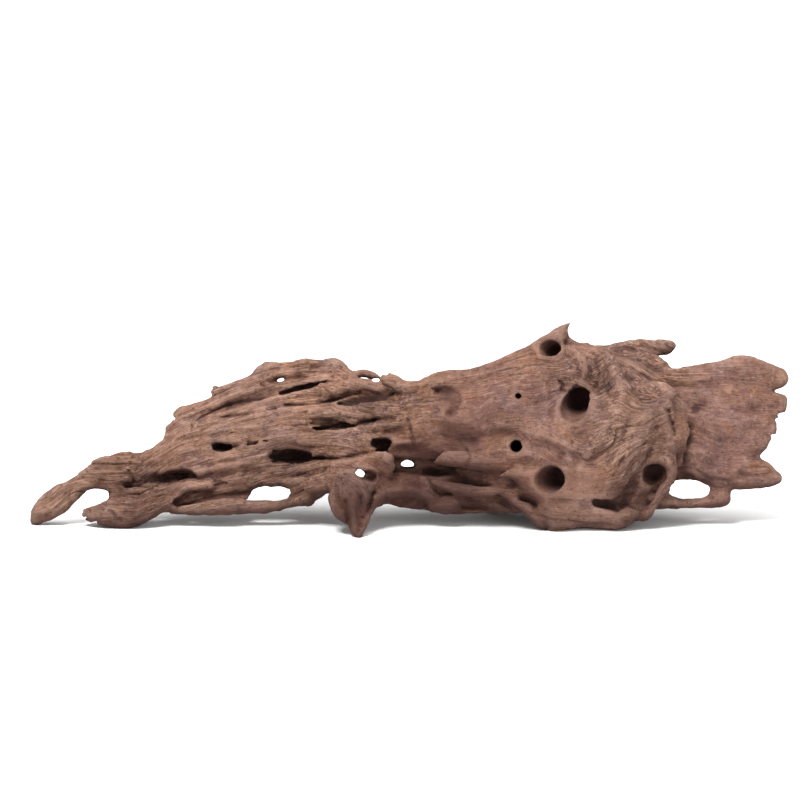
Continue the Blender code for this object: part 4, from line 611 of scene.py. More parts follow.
# Where the wood between the limbs is worn flat: round patches as (along, up, radius, strength).
FLAT_PATCHES = [
    (185, 107, 44, 1.25), (225, 116, 50, 1.3), (275, 122, 54, 1.3), (320, 120, 48, 1.25),
    (350, 112, 34, 1.0), (250, 64, 40, 1.1), (310, 78, 40, 1.2), (200, 70, 40, 1.2), (150, 82, 24, 1.0),
    (420, 120, 44, 1.2), (480, 128, 50, 1.2), (540, 110, 50, 1.0), (690, 115, 44, 1.5),
    (700, 148, 24, 1.2), (710, 75, 24, 1.2), (670, 150, 20, 1.0), (670, 82, 26, 1.2),
    (300, 146, 26, 1.0), (330, 140, 24, 1.0), (600, 120, 40, 1.1), (632, 120, 34, 1.1),
    (590, 160, 26, 0.9), (560, 90, 34, 1.0), (125, 60, 34, 1.0), (545, 35, 34, 0.8), (572, 78, 20, 1.1),
    (612, 150, 22, 1.1), (612, 34, 14, 0.8), (232, 92, 13, 1.35), (212, 94, 13, 1.25),
    (538, 78, 13, 1.2), (571, 72, 14, 1.3), (621, 40, 12, 1.1)]

# A strand that closes a narrow gap over the third slot.
FINE_LIMBS = {
    "strand over the slot": (0.9, 0.1, [
        (215, 95, 66, 3.4), (226, 94, 65, 4.2), (237, 92, 64, 4.8), (250, 92, 63.5, 5.2),
        (264, 91, 62, 5), (278, 90, 59, 4)]),
}

# Small holes and cracks that only the fine surface shows.
FINE_BURROWS = {
    "arch eye": (9.0, [(344, 157.6, 92, 1.7), (347.5, 157.2, 92, 1.5)]),
    "crest pinhole": (8.0, [(271, 150, 100, 1.6), (273, 150.2, 100, 1.4)]),
    "sill pit": (1.4, [(163, 46, 50, 2.6), (166, 46.5, 52, 2.2)]),
    "slab pit": (1.6, [(199, 103.5, 68, 1.6), (203, 104.2, 68, 1.5)]),
    "finger pit": (1.4, [(88.5, 82, 50, 1.8), (92, 82, 52, 1.5)]),
    "crest pit": (1.4, [(281, 170.4, 100, 1.8), (286, 170, 100, 1.5)]),
    "neck pit": (1.4, [(479, 175, 42, 1.8), (482, 175, 44, 1.5)]),
    "burl pit": (1.2, [(509, 163, 30, 2.4), (514, 163.5, 34, 2)]),
    "joint pit": (1.4, [(366, 133, 34, 2.4), (372, 129.5, 34, 2.6), (376, 127, 34, 1.8)]),
    "brow pit": (1.0, [(541, 98, 6, 2), (541, 94, 8, 1.6)]),
    "thumb tip nick": (9.0, [(52.5, 18.5, 46, 1.7), (57, 20, 46, 1.1)]),
    "second thumb tip nick": (9.0, [(62, 13.5, 46, 1.9), (67, 14.5, 46, 1.2)]),
    "step notch": (9.0, [(138, 120, 90, 2.2), (146, 117.5, 90, 1.4)]),
    "crest chip": (9.0, [(284, 181, 110, 2.4), (292, 179, 110, 1.6)]),
    "nape notch": (9.0, [(350, 167, 70, 2.2), (356, 164, 66, 1.4)]),
    "crown chip": (9.0, [(549, 198, 84, 2.4), (554, 195.5, 84, 1.6)]),
    "second crown chip": (9.0, [(561, 194, 86, 2.2), (566, 193, 86, 1.6)]),
    "plate chip": (9.0, [(757, 121, 66, 2.6), (750, 122, 66, 1.6)]),
    "second plate chip": (9.0, [(750, 99, 62, 2.4), (743, 101, 62, 1.4)]),
}

FINE_LINES = {
    "joint crack": (-3.0, [(378, 119, 1.6), (381, 107, 1.6), (384, 93, 1.6)]),
    "joint crack foot": (-2.4, [(362, 98, 1.5), (372, 99, 1.6), (384, 98, 1.5)]),
    "slab seam": (-2.6, [(255, 132, 1.6), (280, 132, 1.7), (305, 137, 1.8), (330, 144, 1.6)]),
    "second slab seam": (-2.4, [(185, 119, 1.5), (215, 122, 1.6), (245, 128, 1.6)]),
    "upright slab crack": (-2.2, [(162, 106, 1.4), (162.5, 113, 1.4)]),
    "finger crack": (-2.2, [(99, 66, 1.6), (102, 61, 1.6), (104, 56, 1.5)]),
    "tongue crack": (-2.0, [(436, 88, 1.5), (440, 80, 1.5), (436, 72, 1.5)]),
    "brow crack": (-4.0, [
        (529, 156, 1.8), (533, 151, 1.9), (531, 147, 1.8), (540, 145, 1.8), (546, 151, 1.8)]),
    "peak crack": (-3.6, [(566, 174, 1.8), (569, 162, 2), (566, 150, 1.8)]),
    "second peak crack": (-3.0, [(557, 178, 1.6), (560, 168, 1.8), (561, 158, 1.6)]),
    "third peak crack": (-2.6, [(573, 156, 1.6), (577, 144, 1.8), (583, 134, 1.6)]),
    "brow ledge": (2.2, [(556, 134, 2), (561, 126, 2.4), (560, 117, 2)]),
    "crown edge": (2.4, [(538, 190, 2), (548, 183, 2.4), (556, 172, 2.4), (554, 160, 2)]),
    "crown fold": (-2.6, [(536, 182, 2), (546, 174, 2.4), (549, 162, 2)]),
    "third fan seam": (-1.5, [(574, 68, 1.6), (583, 86, 1.8), (594, 106, 1.6)]),
    "fourth fan seam": (-1.4, [(600, 56, 1.6), (612, 74, 1.8), (624, 98, 1.6)]),
    "fan seam": (-1.8, [(582, 62, 1.5), (592, 80, 1.7), (602, 100, 1.7), (610, 116, 1.5)]),
    "second fan seam": (-1.6, [(592, 60, 1.5), (604, 78, 1.6), (614, 96, 1.5)]),
    "peg groove": (-2.6, [(327, 30, 1.6), (328, 18, 1.7), (328.5, 6, 1.5)]),
    "flank seam": (-1.6, [(637, 127, 1.5), (640, 116, 1.6), (643, 106, 1.5)]),
    "scar rim": (-1.8, [
        (403, 148, 1.6), (416, 149, 1.8), (427, 144, 1.8), (430, 136, 1.8), (426, 126, 1.6)]),
}

# Where narrow grooves beside the thumb and over a slot are filled: (along, up, radius, strength).
FINE_FLAT_PATCHES = [(101, 52, 12, 1.0), (255, 93, 9, 1.0)]

# How the grain turns away from the length of the root: (along, up, radius, degrees) for each swirl.
TURNS = {
    "finger": (30, 40, 36, 32),
    "peg": (326, 26, 46, -88),
    "fan": (592, 84, 44, 48),
    "flank": (640, 104, 30, 62),
    "peak": (580, 164, 26, 66),
    "horn": (530, 198, 24, 52),
    "nose": (618, 38, 24, 58),
    "cheek": (512, 84, 34, -22),
    "brow": (520, 132, 30, 24),
    "scar": (420, 112, 26, -30),
}

# Where the grain parts round a burrow or a knot: (along, up, radius).
STONES = {
    "crown burrow": (521, 189, 8),
    "brow burrow": (545, 131, 11),
    "cheek burrow": (518, 57, 11),
    "nose burrow": (624, 62, 9),
    "neck burrow": (485, 91, 8),
    "small burrow": (488, 141, 5),
    "first slot": (138, 58, 8),
    "third slot": (260, 81, 8),
    "plate window": (657, 48, 12),
    "lower window": (241, 43, 8),
    "plate knot": (748, 158, 9),
    "burl knot": (512, 163, 6),
}

# The upper and lower edges that the grain spreads between: (along, top, bottom).
GRAIN_EDGES = [
    (-20, 60, 0), (60, 84, 8), (110, 92, 12), (150, 128, 22), (200, 155, 24), (250, 172, 26),
    (300, 180, 28), (350, 160, 34), (400, 160, 36), (450, 168, 34), (500, 192, 20), (550, 205, 8),
    (600, 198, 10), (650, 176, 26), (700, 180, 34), (780, 172, 46)]

# Where the wood is rough with open grain, and where it is worn smooth: (along, up, radius, strength).
ROUGH_PATCHES = [
    (200, 120, 90, 1.0), (300, 130, 70, 1.0), (250, 70, 60, 0.9), (120, 60, 60, 0.8), (590, 90, 45, 0.9),
    (570, 160, 40, 0.9), (620, 170, 50, 0.7), (370, 130, 30, 0.8), (40, 45, 40, 0.6)]

SMOOTH_PATCHES = [
    (518, 57, 20, 0.8), (552, 54, 24, 0.7), (545, 131, 18, 0.7), (624, 63, 14, 0.8), (521, 190, 11, 0.8),
    (485, 91, 8, 0.7), (417, 137, 12, 0.8), (700, 110, 60, 0.35), (440, 125, 50, 0.25)]

# Where each colour of the wood shows: (along, up, radius, strength). The dark patches are partly real dark
# stains and partly painted shade in the burrows, slots, recesses and on the undersides.
STAINS_AND_PAINTED_SHADE = {
    "tan": [
        (190, 95, 70, 0.75), (280, 115, 60, 1.0), (330, 120, 60, 0.9), (110, 70, 50, 0.8),
        (35, 42, 40, 0.6), (390, 130, 40, 0.8), (250, 62, 50, 0.45), (600, 100, 40, 0.3),
        (500, 60, 30, 0.5), (570, 60, 30, 0.3)],
    "rose": [
        (700, 110, 75, 0.9), (520, 120, 55, 0.55), (450, 120, 50, 0.75), (560, 30, 50, 0.5),
        (600, 180, 60, 0.5), (130, 30, 50, 0.35), (740, 60, 40, 0.6)],
    "pale": [
        (225, 96, 46, 1.0), (300, 125, 30, 0.5), (590, 182, 40, 0.5), (35, 42, 40, 0.6),
        (552, 26, 46, 1.0), (596, 100, 38, 1.0), (540, 85, 26, 0.4)],
    "dark_stain_and_painted_shade": [
        (440, 122, 45, 0.28), (100, 28, 40, 0.25), (326, 24, 30, 1.0), (410, 42, 60, 0.9),
        (263, 81, 15, 0.9), (139, 57, 14, 0.5), (500, 30, 26, 0.5), (409, 147, 7, 0.8),
        (417, 143, 8, 0.95), (423, 135, 8, 0.95), (421, 125, 7, 0.9), (416, 116, 7, 0.7),
        (420, 107, 8, 0.8), (430, 100, 9, 0.9), (442, 96, 9, 0.8), (326, 30, 36, 1.0),
        (380, 40, 50, 1.0), (430, 45, 50, 0.9), (475, 45, 34, 0.8), (600, 42, 26, 0.7),
        (385, 84, 22, 0.9), (110, 25, 44, 0.55), (240, 42, 60, 0.5), (418, 137, 13, 0.8),
        (650, 60, 20, 0.35), (340, 142, 20, 0.5), (690, 40, 40, 0.3), (519, 57, 20, 0.95),
        (544, 128, 18, 0.85), (624, 63, 15, 0.95), (521, 190, 11, 0.85), (592, 42, 20, 0.7),
        (359, 104, 16, 0.6), (630, 112, 14, 0.4), (564, 165, 14, 0.5), (485, 91, 9, 0.7),
        (424, 103, 22, 0.8), (560, 50, 20, 0.2), (335, 138, 18, 0.7)],
}


def smooth_chain(knots, step):
    """Points along a Catmull-Rom curve through the knots, about a step apart.

    A knot's last number is its radius."""
    knots = np.array(knots, float)
    padded = np.vstack([2 * knots[0] - knots[1], knots, 2 * knots[-1] - knots[-2]])
    points = []
    for i in range(1, len(knots)):
        before, start, end, after = padded[i - 1 : i + 3]
        count = max(2, math.ceil(np.linalg.norm(end - start) / step))
        t = np.linspace(0, 1, count, endpoint=False)[:, None]
        curve = (2 * start + (end - before) * t
                 + (2 * before - 5 * start + 4 * end - after) * t**2
                 + (3 * start - before - 3 * end + after) * t**3) / 2
        points.append(curve)
    return np.vstack(points + [knots[-1:]])


def blend_lower(a, b, width):
    """The lower of two fields, with a fillet of about that width where they meet."""
    share = np.clip(0.5 + 0.5 * (b - a) / width, 0, 1)
    return b + (a - b) * share - width * share * (1 - share)


def box_blur(values, reach):
    """The mean of a grid's values over a box that reaches that many cells each way."""
    for axis in range(3):
        padding = [(reach + 1, reach) if i == axis else (0, 0) for i in range(3)]
        total = np.cumsum(np.pad(values, padding, mode="edge"), axis=axis, dtype=np.float64)
        total = np.moveaxis(total, axis, 0)
        mean = (total[2 * reach + 1 :] - total[: -2 * reach - 1]) / (2 * reach + 1)
        values = np.moveaxis(mean, 0, axis).astype(np.float32)
    return values


def lattice_noise(places, cells, seed):
    """Smooth noise from -1 to 1 at places (n, 3).

    It runs between random heights on a lattice whose cells have those sizes."""
    heights = np.random.default_rng(seed).uniform(-1, 1, LATTICE**3).astype(np.float32)
    pairs = []
    for axis in range(3):
        spot = places[:, axis] * np.float32(1 / cells[axis])
        floor = np.floor(spot)
        t = spot - floor
        t = t * t * (3 - 2 * t)
        low = floor.astype(np.int32) % LATTICE
        pairs.append(((low, 1 - t), ((low + 1) % LATTICE, t)))
    total = np.zeros(len(places), np.float32)
    for x, x_share in pairs[0]:
        for y, y_share in pairs[1]:
            row = (x * LATTICE + y) * LATTICE
            flat = x_share * y_share
            for z, z_share in pairs[2]:
                total += flat * z_share * heights[row + z]
    return total


def grain_lines(places):
    """Where each place lies along and across the grain, as (along, across, depth).

    The grain runs the length of the root, spreads and narrows with it, swirls where TURNS say,
    and parts round every burrow as a stream parts round a stone."""
    x, v, d = places.astype(np.float32).T
    for along, up, radius, degrees in TURNS.values():
        dx = x - along
        dv = v - up
        angle = -math.radians(degrees) * np.exp(-(dx * dx + dv * dv) / radius**2)
        x = along + dx * np.cos(angle) - dv * np.sin(angle)
        v = up + dx * np.sin(angle) + dv * np.cos(angle)
    for along, up, radius in STONES.values():
        dx = x - along
        dv = v - up
        v = v - dv * radius**2 / (dx * dx + dv * dv + STONE_MIDDLE * radius**2)
    stations, tops, bottoms = np.array(GRAIN_EDGES, float).T
    top = np.interp(x, stations, tops)
    bottom = np.interp(x, stations, bottoms)
    middle = (top + bottom) / 2
    across = (v - middle) * GRAIN_WIDTH / (GRAIN_SPREAD * (top - bottom) + GRAIN_LEAST)
    grain = np.stack([x, across, d], 1).astype(np.float32)
    grain[:, 1] += GRAIN_WANDER * lattice_noise(grain, (90, 45, 45), 11)
    return grain


def patch_strength(along, up, patches):
    """How strongly round patches (along, up, radius, strength) cover places of the drawing."""
    strength = np.zeros(np.broadcast(along, up).shape, np.float32)
    for patch_along, patch_up, radius, share in patches:
        gap = ((along - patch_along) ** 2 + (up - patch_up) ** 2) / radius**2
        strength = np.maximum(strength, share * np.exp(-gap))
    return strength


def split_lines(grain):
    """From 0 to 1: the thin lines along the grain where the wood has split."""
    line = lattice_noise(grain, (130, 13, 20), 1)
    where = lattice_noise(grain, (70, 30, 40), 2)
    return np.exp(-((line / SPLIT_WIDTH) ** 2)) * np.clip(0.3 + 1.9 * where, 0, 1)


def shingle(grain, width, seed):
    """From 0 to 1: layers of fibres that overlap, each highest at its sharp lower edge."""
    phase = grain[:, 1] / width + 1.3 * lattice_noise(grain, (190, 3.2 * width, 50), seed)
    layer = phase - np.floor(phase)
    present = np.clip(0.25 + 1.5 * lattice_noise(grain, (90, 2.0 * width, 30), seed + 1), 0, 1)
    return layer * present


def flakes(grain, size, seed):
    """From 0 to 1: patches with sharp edges, where a thin layer of fibres has flaked off."""
    return np.clip((lattice_noise(grain, (3.5 * size, size, 1.5 * size), seed) - 0.1) / 0.06, 0, 1)


def weathering(places):
    """How deep the weather has eaten in: splits, layers, flakes, worn fibres and a slow waviness."""
    grain = grain_lines(places)
    rough = patch_strength(places[:, 0], places[:, 1], ROUGH_PATCHES)
    smooth = 1 - patch_strength(places[:, 0], places[:, 1], SMOOTH_PATCHES)
    share, more = SPLIT_SHARE
    eaten = SPLIT_DEPTH * split_lines(grain) * (share + more * rough)
    for depth, width, seed, share, more in LAYERS:
        eaten += depth * (shingle(grain, width, seed) - LAYER_LEVEL) * (share + more * rough)
    for depth, size, seed, share, more in FLAKES:
        eaten += depth * flakes(grain, size, seed) * (share + more * rough)
    for points, waves in ((grain, WORN_FIBRES), (places, WAVES)):
        for depth, sizes, seed, share, more in waves:
            eaten += depth * lattice_noise(points, sizes, seed) * (share + more * rough)
    return np.clip(eaten * smooth, WEATHER_LEAST, WEATHER_MOST)


class Field:
    """Distances to the wood's surface, negative inside, on a grid of cells over the drawing."""

    def __init__(self, cell):
        self.cell = cell
        shape = np.ceil((DRAWING_HIGH - DRAWING_LOW) / cell).astype(int) + 1
        self.axes = [(DRAWING_LOW[i] + cell * np.arange(shape[i])).astype(np.float32) for i in range(3)]
        self.values = np.full(shape, REACH, np.float32)

    def window(self, low, high):
        """The slices that cover a box of the drawing, and the open grids of its coordinates."""
        first = np.floor((np.array(low) - DRAWING_LOW) / self.cell).astype(int)
        last = np.ceil((np.array(high) - DRAWING_LOW) / self.cell).astype(int) + 1
        first = np.clip(first, 0, None)
        last = np.clip(last, 0, self.values.shape)
        cut = tuple(slice(a, b) for a, b in zip(first, last))
        return cut, np.ix_(*[axis[part] for axis, part in zip(self.axes, cut)])

    def chain_distance(self, knots, depth_share, lean):
        """The window round a chain of knots, and the distance to the chain's skin there."""
        chain = smooth_chain(knots, STEP).astype(np.float32)
        widest = np.array([1, 1, depth_share + abs(lean)])
        spread = chain[:, 3:4] * widest + REACH
        cut, grids = self.window((chain[:, :3] - spread).min(0), (chain[:, :3] + spread).max(0))
        distance = np.full(self.values[cut].shape, REACH, np.float32)
        for start, end in zip(chain[:-1], chain[1:]):
            spread = max(start[3], end[3]) * widest + REACH
            low = np.minimum(start[:3], end[:3]) - spread
            high = np.maximum(start[:3], end[:3]) + spread
            near = tuple(
                slice(np.searchsorted(grid.ravel(), a), np.searchsorted(grid.ravel(), b))
                for grid, a, b in zip(grids, low, high))
            x, v, d = grids[0][near[0]], grids[1][:, near[1]], grids[2][:, :, near[2]]
            link = end[:3] - start[:3]
            t = (x - start[0]) * link[0] + (v - start[1]) * link[1] + (d - start[2]) * link[2]
            t = np.clip(t / max(link @ link, 1e-6), 0, 1)
            radius = np.maximum(start[3] + t * (end[3] - start[3]), LEAST_RADIUS)
            dx = x - (start[0] + t * link[0])
            dv = v - (start[1] + t * link[1])
            dd = d - (start[2] + t * link[2]) - np.float32(lean) * dv
            flat = dx * dx + dv * dv
            share = np.sqrt(flat + (dd / depth_share) ** 2) / radius
            slope = np.sqrt(flat + (dd / depth_share**2) ** 2) / radius**2
            skin = np.where(share < CORE_SHARE, -radius, share * (share - 1) / np.maximum(slope, 1e-6))
            distance[near] = np.minimum(distance[near], skin)
        return cut, distance

    def grow(self, limbs, fillet):
        """Adds limbs, with a fillet of that width where they meet the wood."""
        for depth_share, lean, knots in limbs.values():
            cut, distance = self.chain_distance(knots, depth_share, lean)
            self.values[cut] = blend_lower(self.values[cut], distance, fillet)

    def bore(self, burrows, lip):
        """Takes burrows away, with an edge rounded by that lip."""
        for depth_share, knots in burrows.values():
            cut, distance = self.chain_distance(knots, depth_share, 0.0)
            self.values[cut] = -blend_lower(-self.values[cut], distance, lip)

    def raise_lines(self, lines, side):
        """Raises or sinks the front skin (side 1) or the back skin (side -1) along lines of the drawing."""
        middle = self.middle_depth()
        for rise, knots in lines.values():
            step = min(STEP, LINE_STEP * min(width for _, _, width in knots))
            chain = smooth_chain([(x, v, 0.0, width) for x, v, width in knots], step)
            spread = LINE_REACH * chain[:, 3:4]
            low = (chain[:, :2] - spread).min(0)
            high = (chain[:, :2] + spread).max(0)
            cut, (x, v, d) = self.window((*low, DRAWING_LOW[2]), (*high, DRAWING_HIGH[2]))
            height = np.zeros((x.shape[0], v.shape[1]), np.float32)
            for px, pv, _, width in chain:
                gap = ((x[:, :, 0] - px) ** 2 + (v[:, :, 0] - pv) ** 2) / width**2
                height = np.maximum(height, np.exp(-gap))
            facing = np.clip(0.5 + side * (middle[cut[:2]][:, :, None] - d) / LINE_FADE, 0, 1)
            self.values[cut] -= rise * height[:, :, None] * facing

    def fill_grooves(self, reach, patches):
        """Fills the grooves between limbs with wood, within patches of the drawing."""
        cells = max(1, round(reach / self.cell))
        smooth = box_blur(box_blur(self.values, cells), cells)
        along, up, _ = np.ix_(*self.axes)
        away = PATCH_EDGE * (1 - patch_strength(along, up, patches))
        self.values = blend_lower(self.values, smooth + GROOVE_LEFT + away, GROOVE_FILLET)

    def middle_depth(self):
        """How far back the middle of the wood lies, at each place of the drawing."""
        wood = np.clip(-self.values, 0, 1)
        total = wood.sum(2)
        depth = (wood * self.axes[2]).sum(2) / np.maximum(total, 1e-3)
        return np.where(total > 0, depth, EMPTY_DEPTH)

    def weather(self):
        """Lets the weather eat into the skin."""
        near = np.nonzero(np.abs(self.values) < WEATHER_REACH)
        places = np.stack([axis[index] for axis, index in zip(self.axes, near)], 1)
        self.values[near] += weathering(places)

    def surface(self):
        """The zero surface as (points, triangles, quads), in drawing units."""
        grid = openvdb.FloatGrid(REACH)
        grid.copyFromArray(self.values)
        points, triangles, quads = grid.convertToPolygons(0.0, 0.0)
        return points * self.cell + DRAWING_LOW, triangles, quads

    def hollowness(self, places, radius):
        """From 0 on a sharp ridge to 1 deep in a burrow: how much of the ball round each place is wood."""
        wood = np.clip(0.5 - self.values / self.cell, 0, 1)
        reach = max(1, round(radius / self.cell))
        return self.read(box_blur(box_blur(wood, reach), reach), places)

    def steepness(self, places):
        """From -1 under the wood to 1 on top of it: how far the broad surface faces the sky."""
        broad = np.clip(self.values, -BROAD_DEPTH, BROAD_DEPTH)
        broad = box_blur(broad, round(BROAD_REACH / self.cell))
        slopes = []
        for step in np.eye(3) * self.cell:
            slopes.append(self.read(broad, places + step) - self.read(broad, places - step))
        across, up, back = slopes
        length = np.sqrt(across**2 + up**2 + back**2) + 1e-6
        return (up * math.cos(VIEW_TILT) - back * math.sin(VIEW_TILT)) / length

    def read(self, values, places):
        """Values of a grid at places between its cells."""
        spot = (places - DRAWING_LOW) / self.cell
        low = np.clip(np.floor(spot).astype(int), 0, np.array(values.shape) - 2)
        t = spot - low
        total = 0
        for corner in np.ndindex(2, 2, 2):
            share = np.prod(np.where(corner, t, 1 - t), axis=1)
            cell = low + corner
            total = total + share * values[cell[:, 0], cell[:, 1], cell[:, 2]]
        return total


def upright(points):
    """Drawing units to metres, with the wood standing level and its middle over the origin."""
    along, up, back = np.asarray(points, float).T
    return UNIT * np.stack([
        along - MIDDLE_ALONG,
        up * math.sin(VIEW_TILT) + back * math.cos(VIEW_TILT) - MIDDLE_BACK,
        up * math.cos(VIEW_TILT) - back * math.sin(VIEW_TILT) - SUNK], 1)


def drawn(points):
    """Metres back to drawing units."""
    x, y, z = (np.asarray(points, float) / UNIT).T
    y = y + MIDDLE_BACK
    z = z + SUNK
    return np.stack([
        x + MIDDLE_ALONG,
        y * math.sin(VIEW_TILT) + z * math.cos(VIEW_TILT),
        y * math.cos(VIEW_TILT) - z * math.sin(VIEW_TILT)], 1)


def grown_field(cell):
    """The whole wood: limbs, filled grooves, relief, burrows and weather, in that order."""
    field = Field(cell)
    for limbs in (LEFT_END, SLAB, UNDERSIDE, NECK, BURL, PLATE, FINE_LIMBS):
        field.grow(limbs, FILLET)
    field.grow(BACK, BACK_FILLET)
    field.fill_grooves(GROOVE_REACH, FLAT_PATCHES + FINE_FLAT_PATCHES)
    field.raise_lines(FRONT_RELIEF, 1)
    field.raise_lines(BACK_RELIEF, -1)
    field.raise_lines(FINE_LINES, 1)
    field.bore(BURROWS, BURROW_LIP)
    field.bore(FINE_BURROWS, FINE_BURROW_LIP)
    field.weather()
    return field


def keep_largest_piece(mesh):
    """Drops every loose scrap, so that the wood is one body."""
    shape = bmesh.new()
    shape.from_mesh(mesh)
    unseen = set(shape.verts)
    pieces = []
    while unseen:
        front = [unseen.pop()]
        piece = list(front)
        while front:
            vert = front.pop()
            for edge in vert.link_edges:
                other = edge.other_vert(vert)
                if other in unseen:
                    unseen.remove(other)
                    front.append(other)
                    piece.append(other)
        pieces.append(piece)
    pieces.sort(key=len)
    for piece in pieces[:-1]:
        bmesh.ops.delete(shape, geom=piece, context="VERTS")
    bmesh.ops.recalc_face_normals(shape, faces=shape.faces)
    shape.to_mesh(mesh)
    shape.free()


def thin_out(piece, most_triangles):
    """Merges faces where the surface is flattest, until only that many triangles are left."""
    triangles = sum(len(face.vertices) - 2 for face in piece.data.polygons)
    if triangles <= most_triangles:
        return
    decimate = piece.modifiers.new("fewer faces", "DECIMATE")
    decimate.ratio = most_triangles / triangles
    decimate.use_collapse_triangulate = True
    bpy.ops.object.select_all(action="DESELECT")
    bpy.context.view_layer.objects.active = piece
    piece.select_set(True)
    bpy.ops.object.modifier_apply(modifier=decimate.name)


def cut_feet(mesh):
    """Cuts the low points off level with the ground, as the flat feet that the wood rests on."""
    shape = bmesh.new()
    shape.from_mesh(mesh)
    everything = shape.verts[:] + shape.edges[:] + shape.faces[:]
    cut = bmesh.ops.bisect_plane(
        shape, geom=everything, dist=1e-6, plane_co=(0, 0, 0), plane_no=(0, 0, 1), clear_inner=True)
    rim = [edge for edge in cut["geom_cut"] if isinstance(edge, bmesh.types.BMEdge)]
    feet = bmesh.ops.holes_fill(shape, edges=rim, sides=0)["faces"]
    bmesh.ops.triangulate(shape, faces=feet)
    bmesh.ops.dissolve_degenerate(shape, edges=shape.edges, dist=SHORTEST_EDGE)
    bmesh.ops.recalc_face_normals(shape, faces=shape.faces)
    shape.to_mesh(mesh)
    shape.free()


def add_object(name, data):
    """A new object in the scene, which holds that mesh, lamp or camera."""
    item = bpy.data.objects.new(name, data)
    bpy.context.scene.collection.objects.link(item)
    return item


def store(mesh, name, values, kind="FLOAT"):
    """Stores a number or a vector on each vertex."""
    attribute = mesh.attributes.new(name, kind, "POINT")
    field = "vector" if kind == "FLOAT_VECTOR" else "value"
    attribute.data.foreach_set(field, np.ascontiguousarray(values, np.float32).ravel())


def mark_surface(mesh, field):
    """Stores on each vertex what its material reads: the grain, the hollows and the underside, which its
    colour darkens as painted shade, and the patches of colour, some of them painted shade.
    """
    places = np.empty(len(mesh.vertices) * 3, np.float32)
    mesh.vertices.foreach_get("co", places)
    places = drawn(places.reshape(-1, 3))
    along, up = places[:, 0], places[:, 1]
    grain = grain_lines(places)
    store(mesh, "grain", grain / GRAIN_UNIT, "FLOAT_VECTOR")
    for name, (radius, contrast) in HOLLOWS.items():
        hollowness = field.hollowness(places, radius)
        store(mesh, name, np.clip((hollowness - 0.5) * contrast + 0.5, 0, 1))
    store(mesh, "split", split_lines(grain))
    smooth = patch_strength(along, up, SMOOTH_PATCHES)
    rough = patch_strength(along, up, ROUGH_PATCHES)
    store(mesh, "fibrous", np.clip((0.5 + 0.5 * rough) * (1 - smooth), 0, 1))
    store(mesh, "under", np.clip(UNDER_LEVEL - UNDER_SLOPE * field.steepness(places), 0, 1))
    for name, patches in STAINS_AND_PAINTED_SHADE.items():
        store(mesh, name, patch_strength(along, up, patches))


def make_driftwood():
    """The whole root, as one closed mesh that stands on its low points."""
    field = grown_field(CELL)
    points, triangles, quads = field.surface()
    mesh = bpy.data.meshes.new("weathered wood")
    mesh.from_pydata(upright(points).tolist(), [], triangles.tolist() + quads.tolist())
    keep_largest_piece(mesh)
    piece = add_object("weathered_wood", mesh)
    thin_out(piece, MOST_TRIANGLES)
    cut_feet(piece.data)
    mark_surface(piece.data, field)
    piece.data.shade_smooth()
    piece.data.materials.append(weathered_wood_material())
    return piece


class Nodes:
    """A node tree being built: adds nodes, sets their sockets and links them."""

    def __init__(self, tree):
        self.tree = tree

    def add(self, kind, inputs=(), **settings):
        node = self.tree.nodes.new(kind)
        for name, value in settings.items():
            setattr(node, name, value)
        for name, value in dict(inputs).items():
            self.give(node.inputs[name], value)
        return node

    def give(self, socket, value):
        if isinstance(value, bpy.types.NodeSocket):
            self.tree.links.new(value, socket)
        elif isinstance(value, tuple) and len(value) == 3 and socket.type == "RGBA":
            socket.default_value = (*value, 1.0)
        else:
            socket.default_value = value

    def attribute(self, name, output="Fac"):
        return self.add("ShaderNodeAttribute", attribute_name=name).outputs[output]

    def math(self, operation, a, b=0.0, c=0.0):
        return self.add("ShaderNodeMath", {0: a, 1: b, 2: c}, operation=operation).outputs[0]

    def times(self, first, *others):
        """The product of values."""
        for other in others:
            first = self.math("MULTIPLY", first, other)
        return first

    def noise(self, vector, scale, detail, roughness, **settings):
        inputs = {"Vector": vector, "Scale": scale, "Detail": detail, "Roughness": roughness}
        return self.add("ShaderNodeTexNoise", inputs, **settings)

    def span(self, value, low, high, out_low=0.0, out_high=1.0):
        """Goes smoothly from out_low to out_high as the value goes from low to high."""
        inputs = {"Value": value, "From Min": low, "From Max": high, "To Min": out_low, "To Max": out_high}
        return self.add("ShaderNodeMapRange", inputs, interpolation_type="SMOOTHSTEP").outputs[0]

    def blend(self, share, a, b):
        """The colour a, with that share of the colour b over it."""
        node = self.add("ShaderNodeMix", data_type="RGBA")
        self.give(node.inputs["Factor"], share)
        self.give(node.inputs[6], a)
        self.give(node.inputs[7], b)
        return node.outputs[2]


def make_group(name, inputs, outputs):
    """A new node group: its tree, its nodes, the sockets it is given and the sockets of its result."""
    tree = bpy.data.node_groups.new(name, "ShaderNodeTree")
    for label, kind, value in inputs:
        socket = tree.interface.new_socket(label, in_out="INPUT", socket_type=kind)
        if value is not None:
            socket.default_value = value
    for label, kind in outputs:
        tree.interface.new_socket(label, in_out="OUTPUT", socket_type=kind)
    nodes = Nodes(tree)
    return tree, nodes, nodes.add("NodeGroupInput").outputs, nodes.add("NodeGroupOutput").inputs


